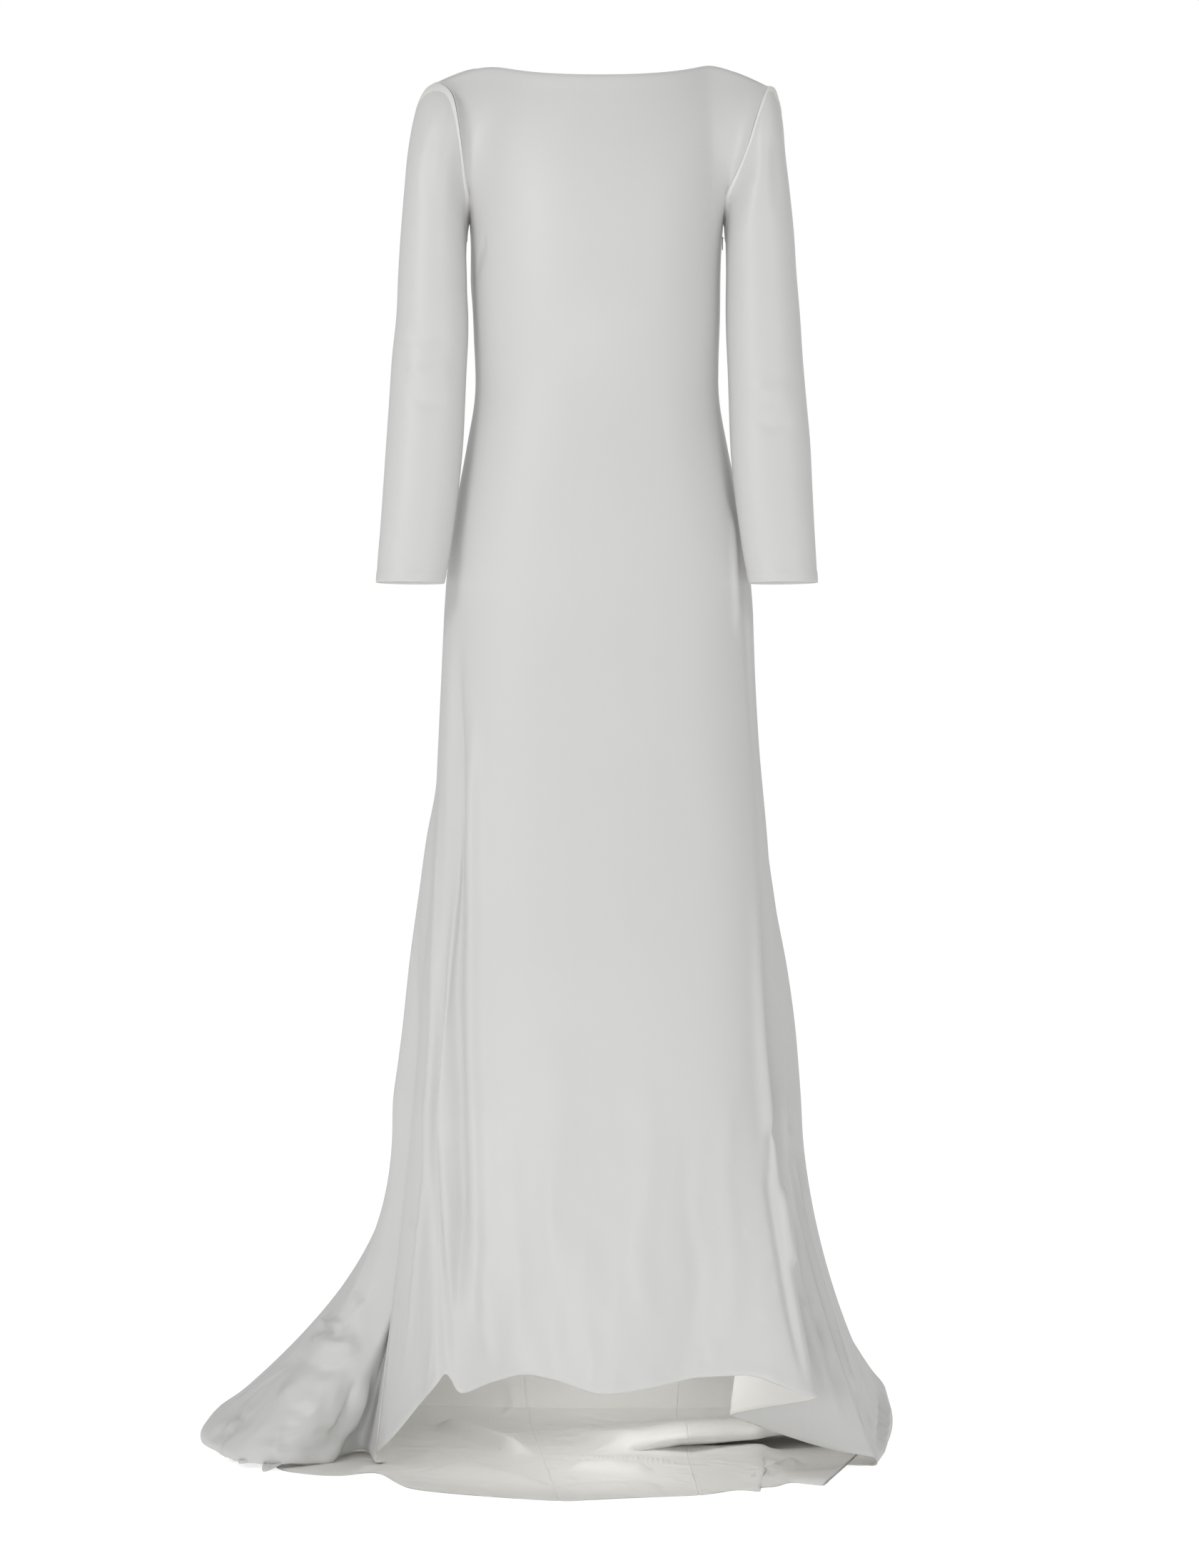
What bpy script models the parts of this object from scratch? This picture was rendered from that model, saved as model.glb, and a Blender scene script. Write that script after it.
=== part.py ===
"""Evening gown: bateau neck, long sleeves and a sweep train, as thin cloth solids.

The frame has X to the right of the gown's picture, the front facing -Y and Z up. The origin lies
midway between the two neck points, where the shoulders hold the gown. Sizes are in millimetres
until the last step, which writes metres.
"""
import math

import bpy
import numpy as np

# Driving sizes, in millimetres. The two shares say how much of the front's top edge is neckline,
# and how much of the back's is each shoulder seam.
FLOOR = -1647.0
WALL = 1.6
SEAM_GAP = 0.5
NECK_HALF = 130.0
NECK_DROP = 23.0
SCOOP_DEPTH = 150.0
NECK_SHARE = 0.76
SCOOP_SHARE = 0.09
ARM_TOP = -22.0
ARM_LOW = -182.0
CALF = -1225.0
ARM_STEPS = 9
DRESS_ROUND = 2.3
ZIP_HEIGHT = -201.0
SLIDER_THICK = 1.5
SLIDER_WIDTH = 5.4
SLIDER_LENGTH = 8.0
LUG_THICK = 0.9
PIN_RADIUS = 0.5
EYE_RADIUS = 1.45
EYE_HOLE = 0.75
PULL_CLEAR = 0.3
PULL_WIDTH = 2.6
PULL_THICK = 1.7
PULL_LENGTH = 14.0

# The dress's sections: height, seam on each side, widest on each side, front and back depth,
# how far the side seams lie in front of (-) or behind (+) the middle, and how square the front is.
SECTION_NAMES = ("z", "seam_l", "seam_r", "out_l", "out_r", "front", "back", "seam_y", "square")
SECTIONS = (
    (-182, 152, 142, 152, 142, 108, 92, 24, 2.3),
    (-215, 153, 142, 163, 143, 115, 93, 26, 2.3),
    (-250, 153, 142, 165, 158, 118, 91, 26, 2.3),
    (-290, 150, 143, 152, 148, 113, 86, 24, 2.3),
    (-335, 147, 140, 149, 143, 103, 80, 20, 2.3),
    (-380, 146, 140, 146, 140, 100, 80, 17, 2.3),
    (-430, 153, 147, 153, 147, 102, 90, 14, 2.3),
    (-490, 164, 159, 164, 159, 107, 106, 11, 2.3),
    (-560, 176, 172, 176, 173, 111, 119, 8, 2.35),
    (-634, 182, 180, 182, 181, 114, 124, 5, 2.4),
    (-720, 186, 183, 187, 184, 121, 126, 3, 2.5),
    (-810, 190, 188, 192, 190, 130, 130, 0, 2.6),
    (-900, 194, 196, 213, 200, 142, 136, -2, 2.75),
    (-980, 198, 201, 227, 218, 153, 144, -4, 2.9),
    (-1054, 205, 203, 238, 234, 164, 153, -6, 3.05),
    (-1140, 211, 206, 247, 246, 174, 168, -8, 3.25),
    (-1225, 218, 213, 258, 253, 184, 186, -10, 3.5),
)

# The front's hem, from the left side seam to the right one: share of the way round the front,
# place, height over the floor, and how late the flare opens (1 is a straight slope).
FRONT_HEM_NAMES = ("share", "x", "y", "high", "late")
FRONT_HEM = (
    (-1.00, -262, -22, 15, 1.0),
    (-0.87, -234, -92, 52, 1.1),
    (-0.74, -203, -165, 98, 1.2),
    (-0.62, -182, -216, 128, 1.25),
    (-0.585, -172, -212, 139, 1.25),
    (-0.53, -156, -222, 118, 1.2),
    (-0.43, -125, -214, 128, 1.1),
    (-0.30, -84, -206, 137, 1.0),
    (-0.16, -42, -216, 130, 1.0),
    (0.00, 3, -228, 118, 1.0),
    (0.16, 58, -222, 124, 1.0),
    (0.30, 108, -212, 134, 1.0),
    (0.44, 166, -212, 137, 1.05),
    (0.54, 208, -216, 124, 1.1),
    (0.600, 238, -210, 113, 1.2),
    (0.625, 245, -199, 111, 1.3),
    (0.650, 238, -184, 105, 1.4),
    (0.70, 196, -126, 88, 1.5),
    (0.740, 158, -76, 72, 1.6),
    (0.760, 151, -62, 67, 1.6),
    (0.785, 160, -52, 63, 1.6),
    (0.85, 216, -50, 42, 1.5),
    (0.92, 268, -48, 26, 1.45),
    (1.00, 322, -43, 15, 1.4),
)

# The back's foot, from the left side seam round to the right one: share of the way round the
# back, the rolled rim where the cloth meets the floor, its height, how late it spreads, and the
# hem that is turned under it, with its height and the depth of the fold in the cloth between.
BACK_FOOT_NAMES = ("share", "x", "y", "high", "late", "hem_x", "hem_y", "hem_high", "fold")
BACK_FOOT = (
    (0.000, -262, -22, 15, 1.0, -250, -14, 5.0, 0.0),
    (0.030, -283, 58, 20, 1.8, -281, 75, 7.0, 0.0),
    (0.065, -331, -16, 21, 3.0, -336, 0, 7.5, 0.0),
    (0.100, -374, -44, 21, 2.5, -373, -24, 7.5, 0.0),
    (0.135, -418, -30, 21, 2.2, -408, -12, 7.5, 0.0),
    (0.170, -455, 42, 21, 2.1, -438, 50, 7.0, 0.0),
    (0.210, -483, 150, 19, 2.0, -468, 147, 4.5, 0.0),
    (0.225, -480, 242, 18, 1.9, -450, 140, 2.2, 0.0),
    (0.245, -434, 310, 18, 1.8, -405, 60, 1.2, 0.0),
    (0.270, -372, 328, 17, 2.0, -366, -52, 1.0, 0.0),
    (0.295, -306, 336, 17, 1.8, -303, -84, 1.0, 0.0),
    (0.315, -242, 337, 17, 1.6, -262, -62, 1.0, 0.0),
    (0.337, -168, 333, 17, 1.5, -212, -166, 1.0, 0.0),
    (0.360, -92, 324, 17, 1.4, -46, -238, 1.0, 0.0),
    (0.440, -40, 319, 17, 1.3, -14, -232, 1.0, 0.05),
    (0.500, 0, 316, 17, 1.3, 16, -224, 1.0, 0.30),
    (0.535, 24, 317, 17, 1.3, 40, -219, 1.0, 0.50),
    (0.570, 48, 318, 17, 1.3, 64, -214, 1.0, 0.68),
    (0.605, 72, 319, 17, 1.35, 88, -209, 1.0, 0.86),
    (0.640, 96, 320, 17, 1.4, 112, -203, 1.0, 1.0),
    (0.680, 196, 336, 17, 1.6, 172, -160, 1.0, 1.0),
    (0.720, 296, 358, 24, 1.8, 200, -150, 1.0, 1.0),
    (0.760, 364, 345, 32, 1.8, 222, -110, 1.0, 1.0),
    (0.810, 364, 262, 22, 1.85, 240, -62, 1.0, 0.8),
    (0.850, 357, 184, 18, 1.75, 252, -40, 1.1, 0.55),
    (0.880, 348, 124, 18, 1.75, 262, -24, 1.3, 0.30),
    (0.910, 341, 84, 18, 1.6, 272, -14, 2.2, 0.1),
    (0.955, 333, 18, 18, 1.4, 298, -30, 4.0, 0.0),
    (1.000, 322, -43, 15, 1.4, 309, -37, 5.0, 0.0),
)

# The train's run from under the rim to its hem: share of the way where it lies flat, where it
# drops in a step and where it folds over itself, and the height of the last two.
TRAIN_RUN_NAMES = ("flat", "step", "fold", "step_high", "fold_high")
TRAIN_RUN = (
    (0.10, 0.16, 0.13, 6.0, 8.0),
    (0.21, 0.32, 0.31, 15.0, 23.0),
    (0.32, 0.43, 0.46, 19.0, 33.0),
    (0.40, 0.470, 0.530, 18.0, 31.0),
    (0.46, 0.490, 0.545, 14.5, 24.0),
    (0.52, 0.500, 0.510, 11.0, 18.5),
    (0.58, 0.507, 0.425, 8.0, 15.5),
    (0.64, 0.515, 0.360, 5.0, 10.5),
    (0.70, 0.530, 0.350, 2.6, 5.0),
    (0.78, 0.60, 0.425, 1.3, 1.4),
    (0.86, 0.73, 0.60, 1.0, 1.0),
    (0.93, 0.86, 0.80, 1.0, 1.0),
    (1.00, 1.00, 1.00, 1.0, 1.0),
)

# Long soft folds in the skirt: which cloth, where it starts and ends round it and in height,
# its width as a share, and its depth at the bottom (a valley is minus).
FOLD_NAMES = ("cloth", "top_share", "low_share", "top_z", "low_z", "width", "depth")
FOLDS = (
    ("front", -0.70, -0.585, -760, -1225, 0.040, -10),
    ("front", -0.62, -0.53, -800, -1225, 0.045, 5),
    ("front", 0.66, 0.61, -900, -1225, 0.045, 9),
    ("front", 0.80, 0.76, -760, -1225, 0.055, -24),
    ("front", 0.90, 0.87, -1000, -1225, 0.050, 7),
    ("back", 0.10, 0.045, -900, -1225, 0.035, -16),
    ("back", 0.24, 0.22, -900, -1225, 0.050, 14),
    ("back", 0.42, 0.42, -760, -1225, 0.050, -12),
    ("back", 0.58, 0.58, -800, -1225, 0.050, -12),
    ("back", 0.50, 0.50, -760, -1225, 0.050, 12),
    ("back", 0.76, 0.76, -900, -1225, 0.050, 12),
    ("back", 0.90, 0.93, -900, -1225, 0.035, -10),
)

# The armholes: the seam's distance from the middle, at shares of the way up from the underarm.
ARMHOLE_NAMES = ("up", "left_x", "right_x")
ARMHOLE = (
    (0.00, 152, 142),
    (0.12, 153, 146),
    (0.25, 157, 156),
    (0.50, 161, 173),
    (0.72, 166, 183),
    (0.87, 171, 191),
    (0.96, 182, 196),
    (1.00, 194, 200),
)

# The sleeves: distance from the middle of the outer and inner edge, their heights, how far
# forward (-) the middle of the sleeve lies, and its half depth.
SLEEVE_NAMES = ("out_l", "in_l", "out_r", "in_r", "out_z", "in_z", "y", "half")
SLEEVES = (
    (203, 154.5, 204, 147.0, -27, -188, 1, 51),
    (212, 155.8, 210, 147.8, -42, -198, -6, 48),
    (219, 156.0, 215, 148.0, -68, -211, -12, 46),
    (225, 156.0, 218, 148.0, -105, -228, -16, 44),
    (229, 155.4, 223, 148.0, -150, -248, -19, 43),
    (233, 154.8, 228, 147.6, -200, -272, -21, 43),
    (236, 153.4, 231, 147.4, -250, -298, -24, 43),
    (238, 153.4, 235, 148.0, -300, -328, -27, 43),
    (243, 155.0, 238, 149.4, -350, -362, -31, 42),
    (246, 156.6, 242, 150.6, -400, -404, -36, 41),
    (249, 158.6, 246, 152.0, -450, -450, -43, 39),
    (252, 163.0, 248, 155.6, -500, -500, -50, 37),
    (255, 169.0, 250, 162.0, -550, -550, -58, 34),
    (258, 175.0, 252, 168.0, -590, -590, -63, 32),
    (259, 180.0, 253, 173.5, -613, -614, -66, 31),
)

# Columns of points round each cloth; panels are cut from them
FRONT_COLUMNS = (
    -1.0, -0.92, -0.84, -0.76, -0.69, -0.62, -0.585, -0.53, -0.44, -0.33, -0.21, -0.08, 0.05,
    0.18, 0.30, 0.41, 0.50, 0.565, 0.60, 0.625, 0.65, 0.695, 0.735, 0.76, 0.79, 0.85, 0.92, 1.0,
)
BACK_COLUMNS = (
    0.0, 0.03, 0.06, 0.09, 0.12, 0.15, 0.18, 0.21, 0.225, 0.245, 0.27, 0.295, 0.325, 0.344, 0.36,
    0.40, 0.44, 0.475, 0.50, 0.518, 0.535, 0.552, 0.57, 0.588, 0.605, 0.622, 0.64,
    0.67, 0.71, 0.755, 0.80, 0.835, 0.86, 0.885, 0.91, 0.94, 0.97, 1.0,
)
BACK_SEAMS = (0.36, 0.64)
SHANK_STEPS = (0.12, 0.25, 0.38, 0.51, 0.63, 0.74, 0.84, 0.925, 1.0)


def column(rows, names, name):
    """Take one named column of a table as an array."""
    place = names.index(name)
    return np.array([float(row[place]) for row in rows])


def smooth(xs, ys, x):
    """Read a table at x along a smooth curve that keeps to its rows and never overshoots."""
    steps = np.diff(xs)
    slopes = np.diff(ys) / steps
    tangents = np.zeros(len(xs))
    tangents[0] = slopes[0]
    tangents[-1] = slopes[-1]
    for i in range(1, len(xs) - 1):
        if slopes[i - 1] * slopes[i] > 0.0:
            first = 2.0 * steps[i] + steps[i - 1]
            second = steps[i] + 2.0 * steps[i - 1]
            tangents[i] = (first + second) / (first / slopes[i - 1] + second / slopes[i])
    k = int(np.clip(np.searchsorted(xs, x, side="right") - 1, 0, len(steps) - 1))
    t = (x - xs[k]) / steps[k]
    t2 = t * t
    t3 = t2 * t
    value = (2 * t3 - 3 * t2 + 1) * ys[k] + (-2 * t3 + 3 * t2) * ys[k + 1]
    return value + ((t3 - 2 * t2 + t) * tangents[k] + (t3 - t2) * tangents[k + 1]) * steps[k]


def section(name, z):
    """Read one size of the dress's section at a height."""
    heights = -column(SECTIONS, SECTION_NAMES, "z")
    return smooth(heights, column(SECTIONS, SECTION_NAMES, name), -z)


def front_hem(name, share):
    """Read one column of the front's hem."""
    shares = column(FRONT_HEM, FRONT_HEM_NAMES, "share")
    return smooth(shares, column(FRONT_HEM, FRONT_HEM_NAMES, name), share)


def back_foot(name, share):
    """Read one column of the back's foot."""
    shares = column(BACK_FOOT, BACK_FOOT_NAMES, "share")
    return smooth(shares, column(BACK_FOOT, BACK_FOOT_NAMES, name), share)


def ease(t):
    """Rise from 0 to 1 with soft ends."""
    t = min(max(t, 0.0), 1.0)
    return t * t * (3.0 - 2.0 * t)


def fold_depth(cloth, share, z):
    """Add up the long folds at one point of the skirt."""
    total = 0.0
    for row in FOLDS:
        fold = dict(zip(FOLD_NAMES, row))
        if fold["cloth"] != cloth or z > fold["top_z"]:
            continue
        down = (fold["top_z"] - z) / (fold["top_z"] - fold["low_z"])
        middle = fold["top_share"] + (fold["low_share"] - fold["top_share"]) * min(down, 1.0)
        off = (share - middle) / fold["width"]
        total += fold["depth"] * ease(down) * math.exp(-off * off)
    near_seam = 1.0 - abs(share) if cloth == "front" else 2.0 * min(share, 1.0 - share)
    return total * ease(near_seam / 0.05)


def front_section(share, z):
    """Find a point of the front at a height: share -1 is the left side seam and 1 the right."""
    side = "seam_l" if share < 0.0 else "seam_r"
    half = section(side, z)
    turn = share * math.pi / 2.0
    power = 2.0 / section("square", z)
    x = half * math.copysign(abs(math.sin(turn)) ** power, share)
    seam_y = section("seam_y", z)
    depth = section("front", z) + seam_y
    bulge = abs(math.cos(turn)) ** power
    y = seam_y - depth * bulge
    fold = fold_depth("front", share, z)
    return np.array([x + fold * math.sin(turn), y - fold * math.cos(turn), z])


def back_section(share, z):
    """Find a point of the back at a height: share 0 is the left side seam and 1 the right."""
    left = share < 0.5
    seam = section("seam_l" if left else "seam_r", z)
    widest = section("out_l" if left else "out_r", z)
    turn = share * math.pi
    power = 2.0 / DRESS_ROUND
    round_x = math.copysign(abs(math.cos(turn)) ** power, -math.cos(turn))
    near = min(share, 1.0 - share)
    spread = (widest - seam) * 1.25 * math.sin(min(near / 0.16, 1.0) * math.pi / 2.0) ** 1.3
    x = (seam + spread) * round_x
    seam_y = section("seam_y", z)
    y = seam_y + (section("back", z) - seam_y) * abs(math.sin(turn)) ** power
    fold = fold_depth("back", share, z)
    return np.array([x - fold * math.cos(turn), y + fold * math.sin(turn), z])


def armhole_point(side, step, front):
    """Find a point of an armhole's seam: step 0 is the shoulder and ARM_STEPS the underarm."""
    turn = step * math.pi / ARM_STEPS
    up = (1.0 + math.cos(turn)) / 2.0
    name = "left_x" if side < 0 else "right_x"
    x = smooth(column(ARMHOLE, ARMHOLE_NAMES, "up"), column(ARMHOLE, ARMHOLE_NAMES, name), up)
    top = ARM_TOP if side < 0 else ARM_TOP - 4.5
    z = ARM_LOW + (top - ARM_LOW) * up
    middle = 5.0 + (section("seam_y", ARM_LOW) - 5.0) * (1.0 - up)
    reach = -57.0 if front else 47.0
    y = middle + reach * math.sin(turn) ** 0.9
    return np.array([side * x, y, z])


def shoulder_point(side, t):
    """Find a point of the shoulder seam from the neck (0) to the armhole (1)."""
    end = armhole_point(side, 0, True)
    neck = np.array([side * NECK_HALF, 3.0, 0.0])
    return neck + (end - neck) * t + np.array([0.0, 0.0, 3.5 * math.sin(t * math.pi)])


def front_top(share):
    """Find the front's top edge: shoulder seam, neckline, shoulder seam."""
    side = -1 if share < 0.0 else 1
    size = abs(share)
    if size > NECK_SHARE:
        return shoulder_point(side, (size - NECK_SHARE) / (1.0 - NECK_SHARE))
    t = size / NECK_SHARE
    y = 3.0 - 60.0 * (1.0 - t ** 2.4)
    z = -NECK_DROP * (1.0 - t ** 2.6)
    return np.array([side * NECK_HALF * t, y, z])


def back_top(share):
    """Find the back's top edge: shoulder seam, scooped neckline, shoulder seam."""
    side = -1 if share < 0.5 else 1
    near = min(share, 1.0 - share)
    if near < SCOOP_SHARE:
        return shoulder_point(side, 1.0 - near / SCOOP_SHARE)
    t = (0.5 - near) / (0.5 - SCOOP_SHARE)
    x = NECK_HALF * t ** 0.95
    z = -SCOOP_DEPTH * (1.0 - t ** 1.8)
    y = 3.0 + 80.0 * (1.0 - t ** 2.8)
    return np.array([side * x, y, z])


def yoke_point(share, step, front):
    """Find a point between the top edge and the underarm, on the front or the back."""
    if step == ARM_STEPS:
        return front_section(share, ARM_LOW) if front else back_section(share, ARM_LOW)
    down = (1.0 - math.cos(step * math.pi / ARM_STEPS)) / 2.0
    if front:
        edge_share = abs(share)
        side = -1 if share < 0.0 else 1
        top = front_top(share)
        low = front_section(share, ARM_LOW)
        end_top = front_top(float(side))
        end_low = front_section(float(side), ARM_LOW)
    else:
        edge_share = 1.0 - 2.0 * min(share, 1.0 - share)
        side = -1 if share < 0.5 else 1
        end = 0.0 if side < 0 else 1.0
        top = back_top(share)
        low = back_section(share, ARM_LOW)
        end_top = back_top(end)
        end_low = back_section(end, ARM_LOW)
    lean = 0.78 - 0.2 * edge_share ** 2

    def between(first, last):
        """Lean from the top edge to the underarm, with the depth gained early."""
        point = first + (last - first) * down
        point[1] = first[1] + (last[1] - first[1]) * down ** lean
        return point

    pull = edge_share ** (3.0 if front else 4.0)
    seam = armhole_point(side, step, front)
    return between(top, low) + (seam - between(end_top, end_low)) * pull


def shank_point(share, step, front):
    """Find a point between the calf and the hem or rim."""
    w = SHANK_STEPS[step]
    read = front_hem if front else back_foot
    start = front_section(share, CALF) if front else back_section(share, CALF)
    end = np.array([read("x", share), read("y", share), FLOOR + read("high", share)])
    spread = w ** read("late", share)
    point = start + (end - start) * spread
    point[2] = CALF + (end[2] - CALF) * w
    return point


def train_points(share):
    """Find the points of the back from its rim, under it and over the floor to the hem."""
    rim = np.array([back_foot("x", share), back_foot("y", share)])
    hem = np.array([back_foot("hem_x", share), back_foot("hem_y", share)])
    high = back_foot("high", share)
    low = back_foot("hem_high", share)
    fold = back_foot("fold", share)
    way = hem - rim
    length = float(np.linalg.norm(way))
    out = -way / length
    middle = (high + low) / 2.0
    points = [np.append(rim + out * 3.0, FLOOR + middle)]
    points.append(np.append(rim + out * 0.0, FLOOR + low))
    for row in TRAIN_RUN:
        run = dict(zip(TRAIN_RUN_NAMES, row))
        if fold < 0.5:
            along = run["flat"] + (run["step"] - run["flat"]) * fold * 2.0
            lift = (run["step_high"] - 1.0) * fold * 2.0
        else:
            along = run["step"] + (run["fold"] - run["step"]) * (fold * 2.0 - 1.0)
            rise = run["fold_high"] - run["step_high"]
            lift = run["step_high"] - 1.0 + rise * (fold * 2.0 - 1.0)
        points.append(np.append(rim + way * along, FLOOR + low + lift))
    return points


def cloth_grid(front):
    """Build all the points of the front or the back, a row of columns for each height."""
    shares = FRONT_COLUMNS if front else BACK_COLUMNS
    pick = front_section if front else back_section
    rows = []
    for step in range(ARM_STEPS + 1):
        rows.append([yoke_point(share, step, front) for share in shares])
    rows[0] = [front_top(share) if front else back_top(share) for share in shares]
    for row in SECTIONS[1:]:
        rows.append([pick(share, float(row[0])) for share in shares])
    for step in range(len(SHANK_STEPS)):
        rows.append([shank_point(share, step, front) for share in shares])
    if not front:
        trains = [train_points(share) for share in shares]
        for k in range(len(trains[0])):
            rows.append([train[k] for train in trains])
    return np.array(rows)


def line_ways(grid, axis, ring):
    """Find the direction along one axis of a grid at each point, halving the turn at a bend."""
    lines = np.moveaxis(grid, axis, 0)
    steps = np.roll(lines, -1, axis=0) - lines
    steps /= np.maximum(np.linalg.norm(steps, axis=2, keepdims=True), 1e-9)
    before = np.roll(steps, 1, axis=0)
    if not ring:
        before[0] = steps[0]
        steps[-1] = before[-1]
    return np.moveaxis(steps + before, 0, axis)


def grid_normals(grid, ring=False):
    """Find the outward direction at each point of a grid, from its neighbours."""
    normals = np.cross(line_ways(grid, 0, False), line_ways(grid, 1, ring))
    normals /= np.maximum(np.linalg.norm(normals, axis=2, keepdims=True), 1e-9)
    beside = np.roll(normals, 1, axis=1) + np.roll(normals, -1, axis=1)
    if not ring:
        beside[:, 0] = normals[:, 1] * 2.0
        beside[:, -1] = normals[:, -2] * 2.0
    normals = normals * 2.0 + beside
    return normals / np.maximum(np.linalg.norm(normals, axis=2, keepdims=True), 1e-9)


def share_normals(sheets):
    """Make the outward directions agree where the points of two cloths meet at a seam."""
    met = {}
    for name, (grid, normals) in sheets.items():
        for i in range(grid.shape[0]):
            for j in range(grid.shape[1]):
                key = tuple(np.round(grid[i, j], 3))
                met.setdefault(key, []).append((name, i, j))
    for places in met.values():
        own = [sheets[name][1][i, j].copy() for name, i, j in places]
        for k, (name, i, j) in enumerate(places):
            total = sum(other for other in own if float(np.dot(own[k], other)) > -0.35)
            sheets[name][1][i, j] = total / np.linalg.norm(total)


def draw_in(grid, normals, axis, last, gap):
    """Move one edge of a grid along its own cloth, to leave a gap at a seam."""
    lines = np.moveaxis(grid, axis, 0)
    facing = np.moveaxis(normals, axis, 0)[-1 if last else 0]
    edge = -1 if last else 0
    beside = -2 if last else 1
    along = line_ways(lines[edge][:, None], 0, False)[:, 0]
    along /= np.maximum(np.linalg.norm(along, axis=1, keepdims=True), 1e-9)
    beyond = lines[beside] - lines[edge]
    way = np.cross(facing, along)
    way /= np.maximum(np.linalg.norm(way, axis=1, keepdims=True), 1e-9)
    reach = np.sum(way * beyond, axis=1, keepdims=True)
    lines[edge] += way * np.sign(reach) * np.minimum(gap, 0.4 * np.abs(reach))


def shell(name, grid, normals, ring=False):
    """Make a closed cloth solid from a grid of outer points and a wall set inward from them."""
    rows, columns = grid.shape[0], grid.shape[1]
    outer = grid.reshape(-1, 3)
    inner = (grid - normals * WALL).reshape(-1, 3)
    points = np.concatenate([outer, inner]) * 0.001
    back = rows * columns
    faces = []
    spans = columns if ring else columns - 1
    for i in range(rows - 1):
        for j in range(spans):
            k = (j + 1) % columns
            a, b = i * columns + j, i * columns + k
            c, d = (i + 1) * columns + k, (i + 1) * columns + j
            faces.append((a, d, c, b))
            faces.append((back + a, back + b, back + c, back + d))
    for j in range(spans):
        k = (j + 1) % columns
        faces.append((j, k, back + k, back + j))
        a, b = (rows - 1) * columns + j, (rows - 1) * columns + k
        faces.append((b, a, back + a, back + b))
    if not ring:
        for i in range(rows - 1):
            a, b = i * columns, (i + 1) * columns
            faces.append((b, a, back + a, back + b))
            a, b = a + columns - 1, b + columns - 1
            faces.append((a, b, back + b, back + a))
    mesh = bpy.data.meshes.new(name)
    mesh.from_pydata([tuple(point) for point in points], [], faces)
    mesh.update()
    thing = bpy.data.objects.new(name, mesh)
    bpy.context.scene.collection.objects.link(thing)
    return thing


def sleeve_ring(side, outside, inside, out_z, in_z, middle, half):
    """Find one ring of a sleeve, leaning from its outer edge down to its inner one."""
    ring = []
    for k in range(2 * ARM_STEPS):
        turn = k * math.pi / ARM_STEPS
        up = math.cos(turn)
        x = (outside + inside) / 2.0 + (outside - inside) / 2.0 * up
        z = (out_z + in_z) / 2.0 + (out_z - in_z) / 2.0 * up
        ring.append((side * x, middle - half * math.sin(turn), z))
    return np.array(ring)


def sleeve_grid(side, front, back):
    """Build a sleeve's rings, from the armhole's own points down to the cuff."""
    edge = 0 if side < 0 else -1
    back_edge = -1 if side < 0 else 0
    first = [front[k, edge] for k in range(ARM_STEPS + 1)]
    first += [back[k, back_edge] for k in range(ARM_STEPS - 1, 0, -1)]
    rings = [np.array(first)]
    out_name, in_name = ("out_l", "in_l") if side < 0 else ("out_r", "in_r")
    plain = sleeve_ring(side, abs(first[0][0]), abs(first[ARM_STEPS][0]), first[0][2],
                        first[ARM_STEPS][2], 5.0, 51.0)
    own_shape = rings[0] - plain
    for row in SLEEVES:
        size = dict(zip(SLEEVE_NAMES, row))
        ring = sleeve_ring(side, size[out_name], size[in_name], size["out_z"], size["in_z"],
                           size["y"], size["half"])
        keep = 1.0 - ease((-size["out_z"] - 15.0) / 110.0)
        rings.append(ring + own_shape * keep)
    grid = np.array(rings)
    return grid if side < 0 else grid[:, ::-1]


def block(name, low, high):
    """Make a rectangular block between two corners."""
    bpy.ops.mesh.primitive_cube_add(size=1.0, location=(0.0, 0.0, 0.0))
    thing = bpy.context.object
    thing.name = name
    thing.data.name = name
    for vertex in thing.data.vertices:
        for axis in range(3):
            middle = (low[axis] + high[axis]) / 2.0
            vertex.co[axis] = (middle + vertex.co[axis] * (high[axis] - low[axis])) * 0.001
    return thing


def join_solid(base, added):
    """Add one closed solid to another and remove the spare object."""
    modifier = base.modifiers.new("join", "BOOLEAN")
    modifier.operation = "UNION"
    modifier.solver = "EXACT"
    modifier.object = added
    bpy.context.view_layer.objects.active = base
    bpy.ops.object.modifier_apply(modifier=modifier.name)
    bpy.data.objects.remove(added)


def zip_slider(pin):
    """Make the slider: a flat body on the seam, with two lugs and a pin that carry the pull."""
    x, y, z = pin
    face = x - EYE_RADIUS - PULL_CLEAR
    half = PULL_WIDTH / 2.0 + PULL_CLEAR
    low = (face - SLIDER_THICK, y - SLIDER_WIDTH / 2.0, z - SLIDER_LENGTH + 2.0)
    high = (face, y + SLIDER_WIDTH / 2.0, z + 2.0)
    body = block("zip_slider", low, high)
    for side in (-1.0, 1.0):
        near = y + side * half
        far = y + side * (half + LUG_THICK)
        start = (face - 0.5, min(near, far), z - 1.1)
        end = (x + 0.9, max(near, far), z + 1.1)
        join_solid(body, block("lug", start, end))
    bpy.ops.mesh.primitive_cylinder_add(
        vertices=12, radius=PIN_RADIUS * 0.001, depth=(2.0 * half + LUG_THICK) * 0.001,
        location=(x * 0.001, y * 0.001, z * 0.001), rotation=(math.pi / 2.0, 0.0, 0.0))
    bar = bpy.context.object
    bpy.ops.object.transform_apply(location=True, rotation=True, scale=True)
    join_solid(body, bar)
    return body


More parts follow.
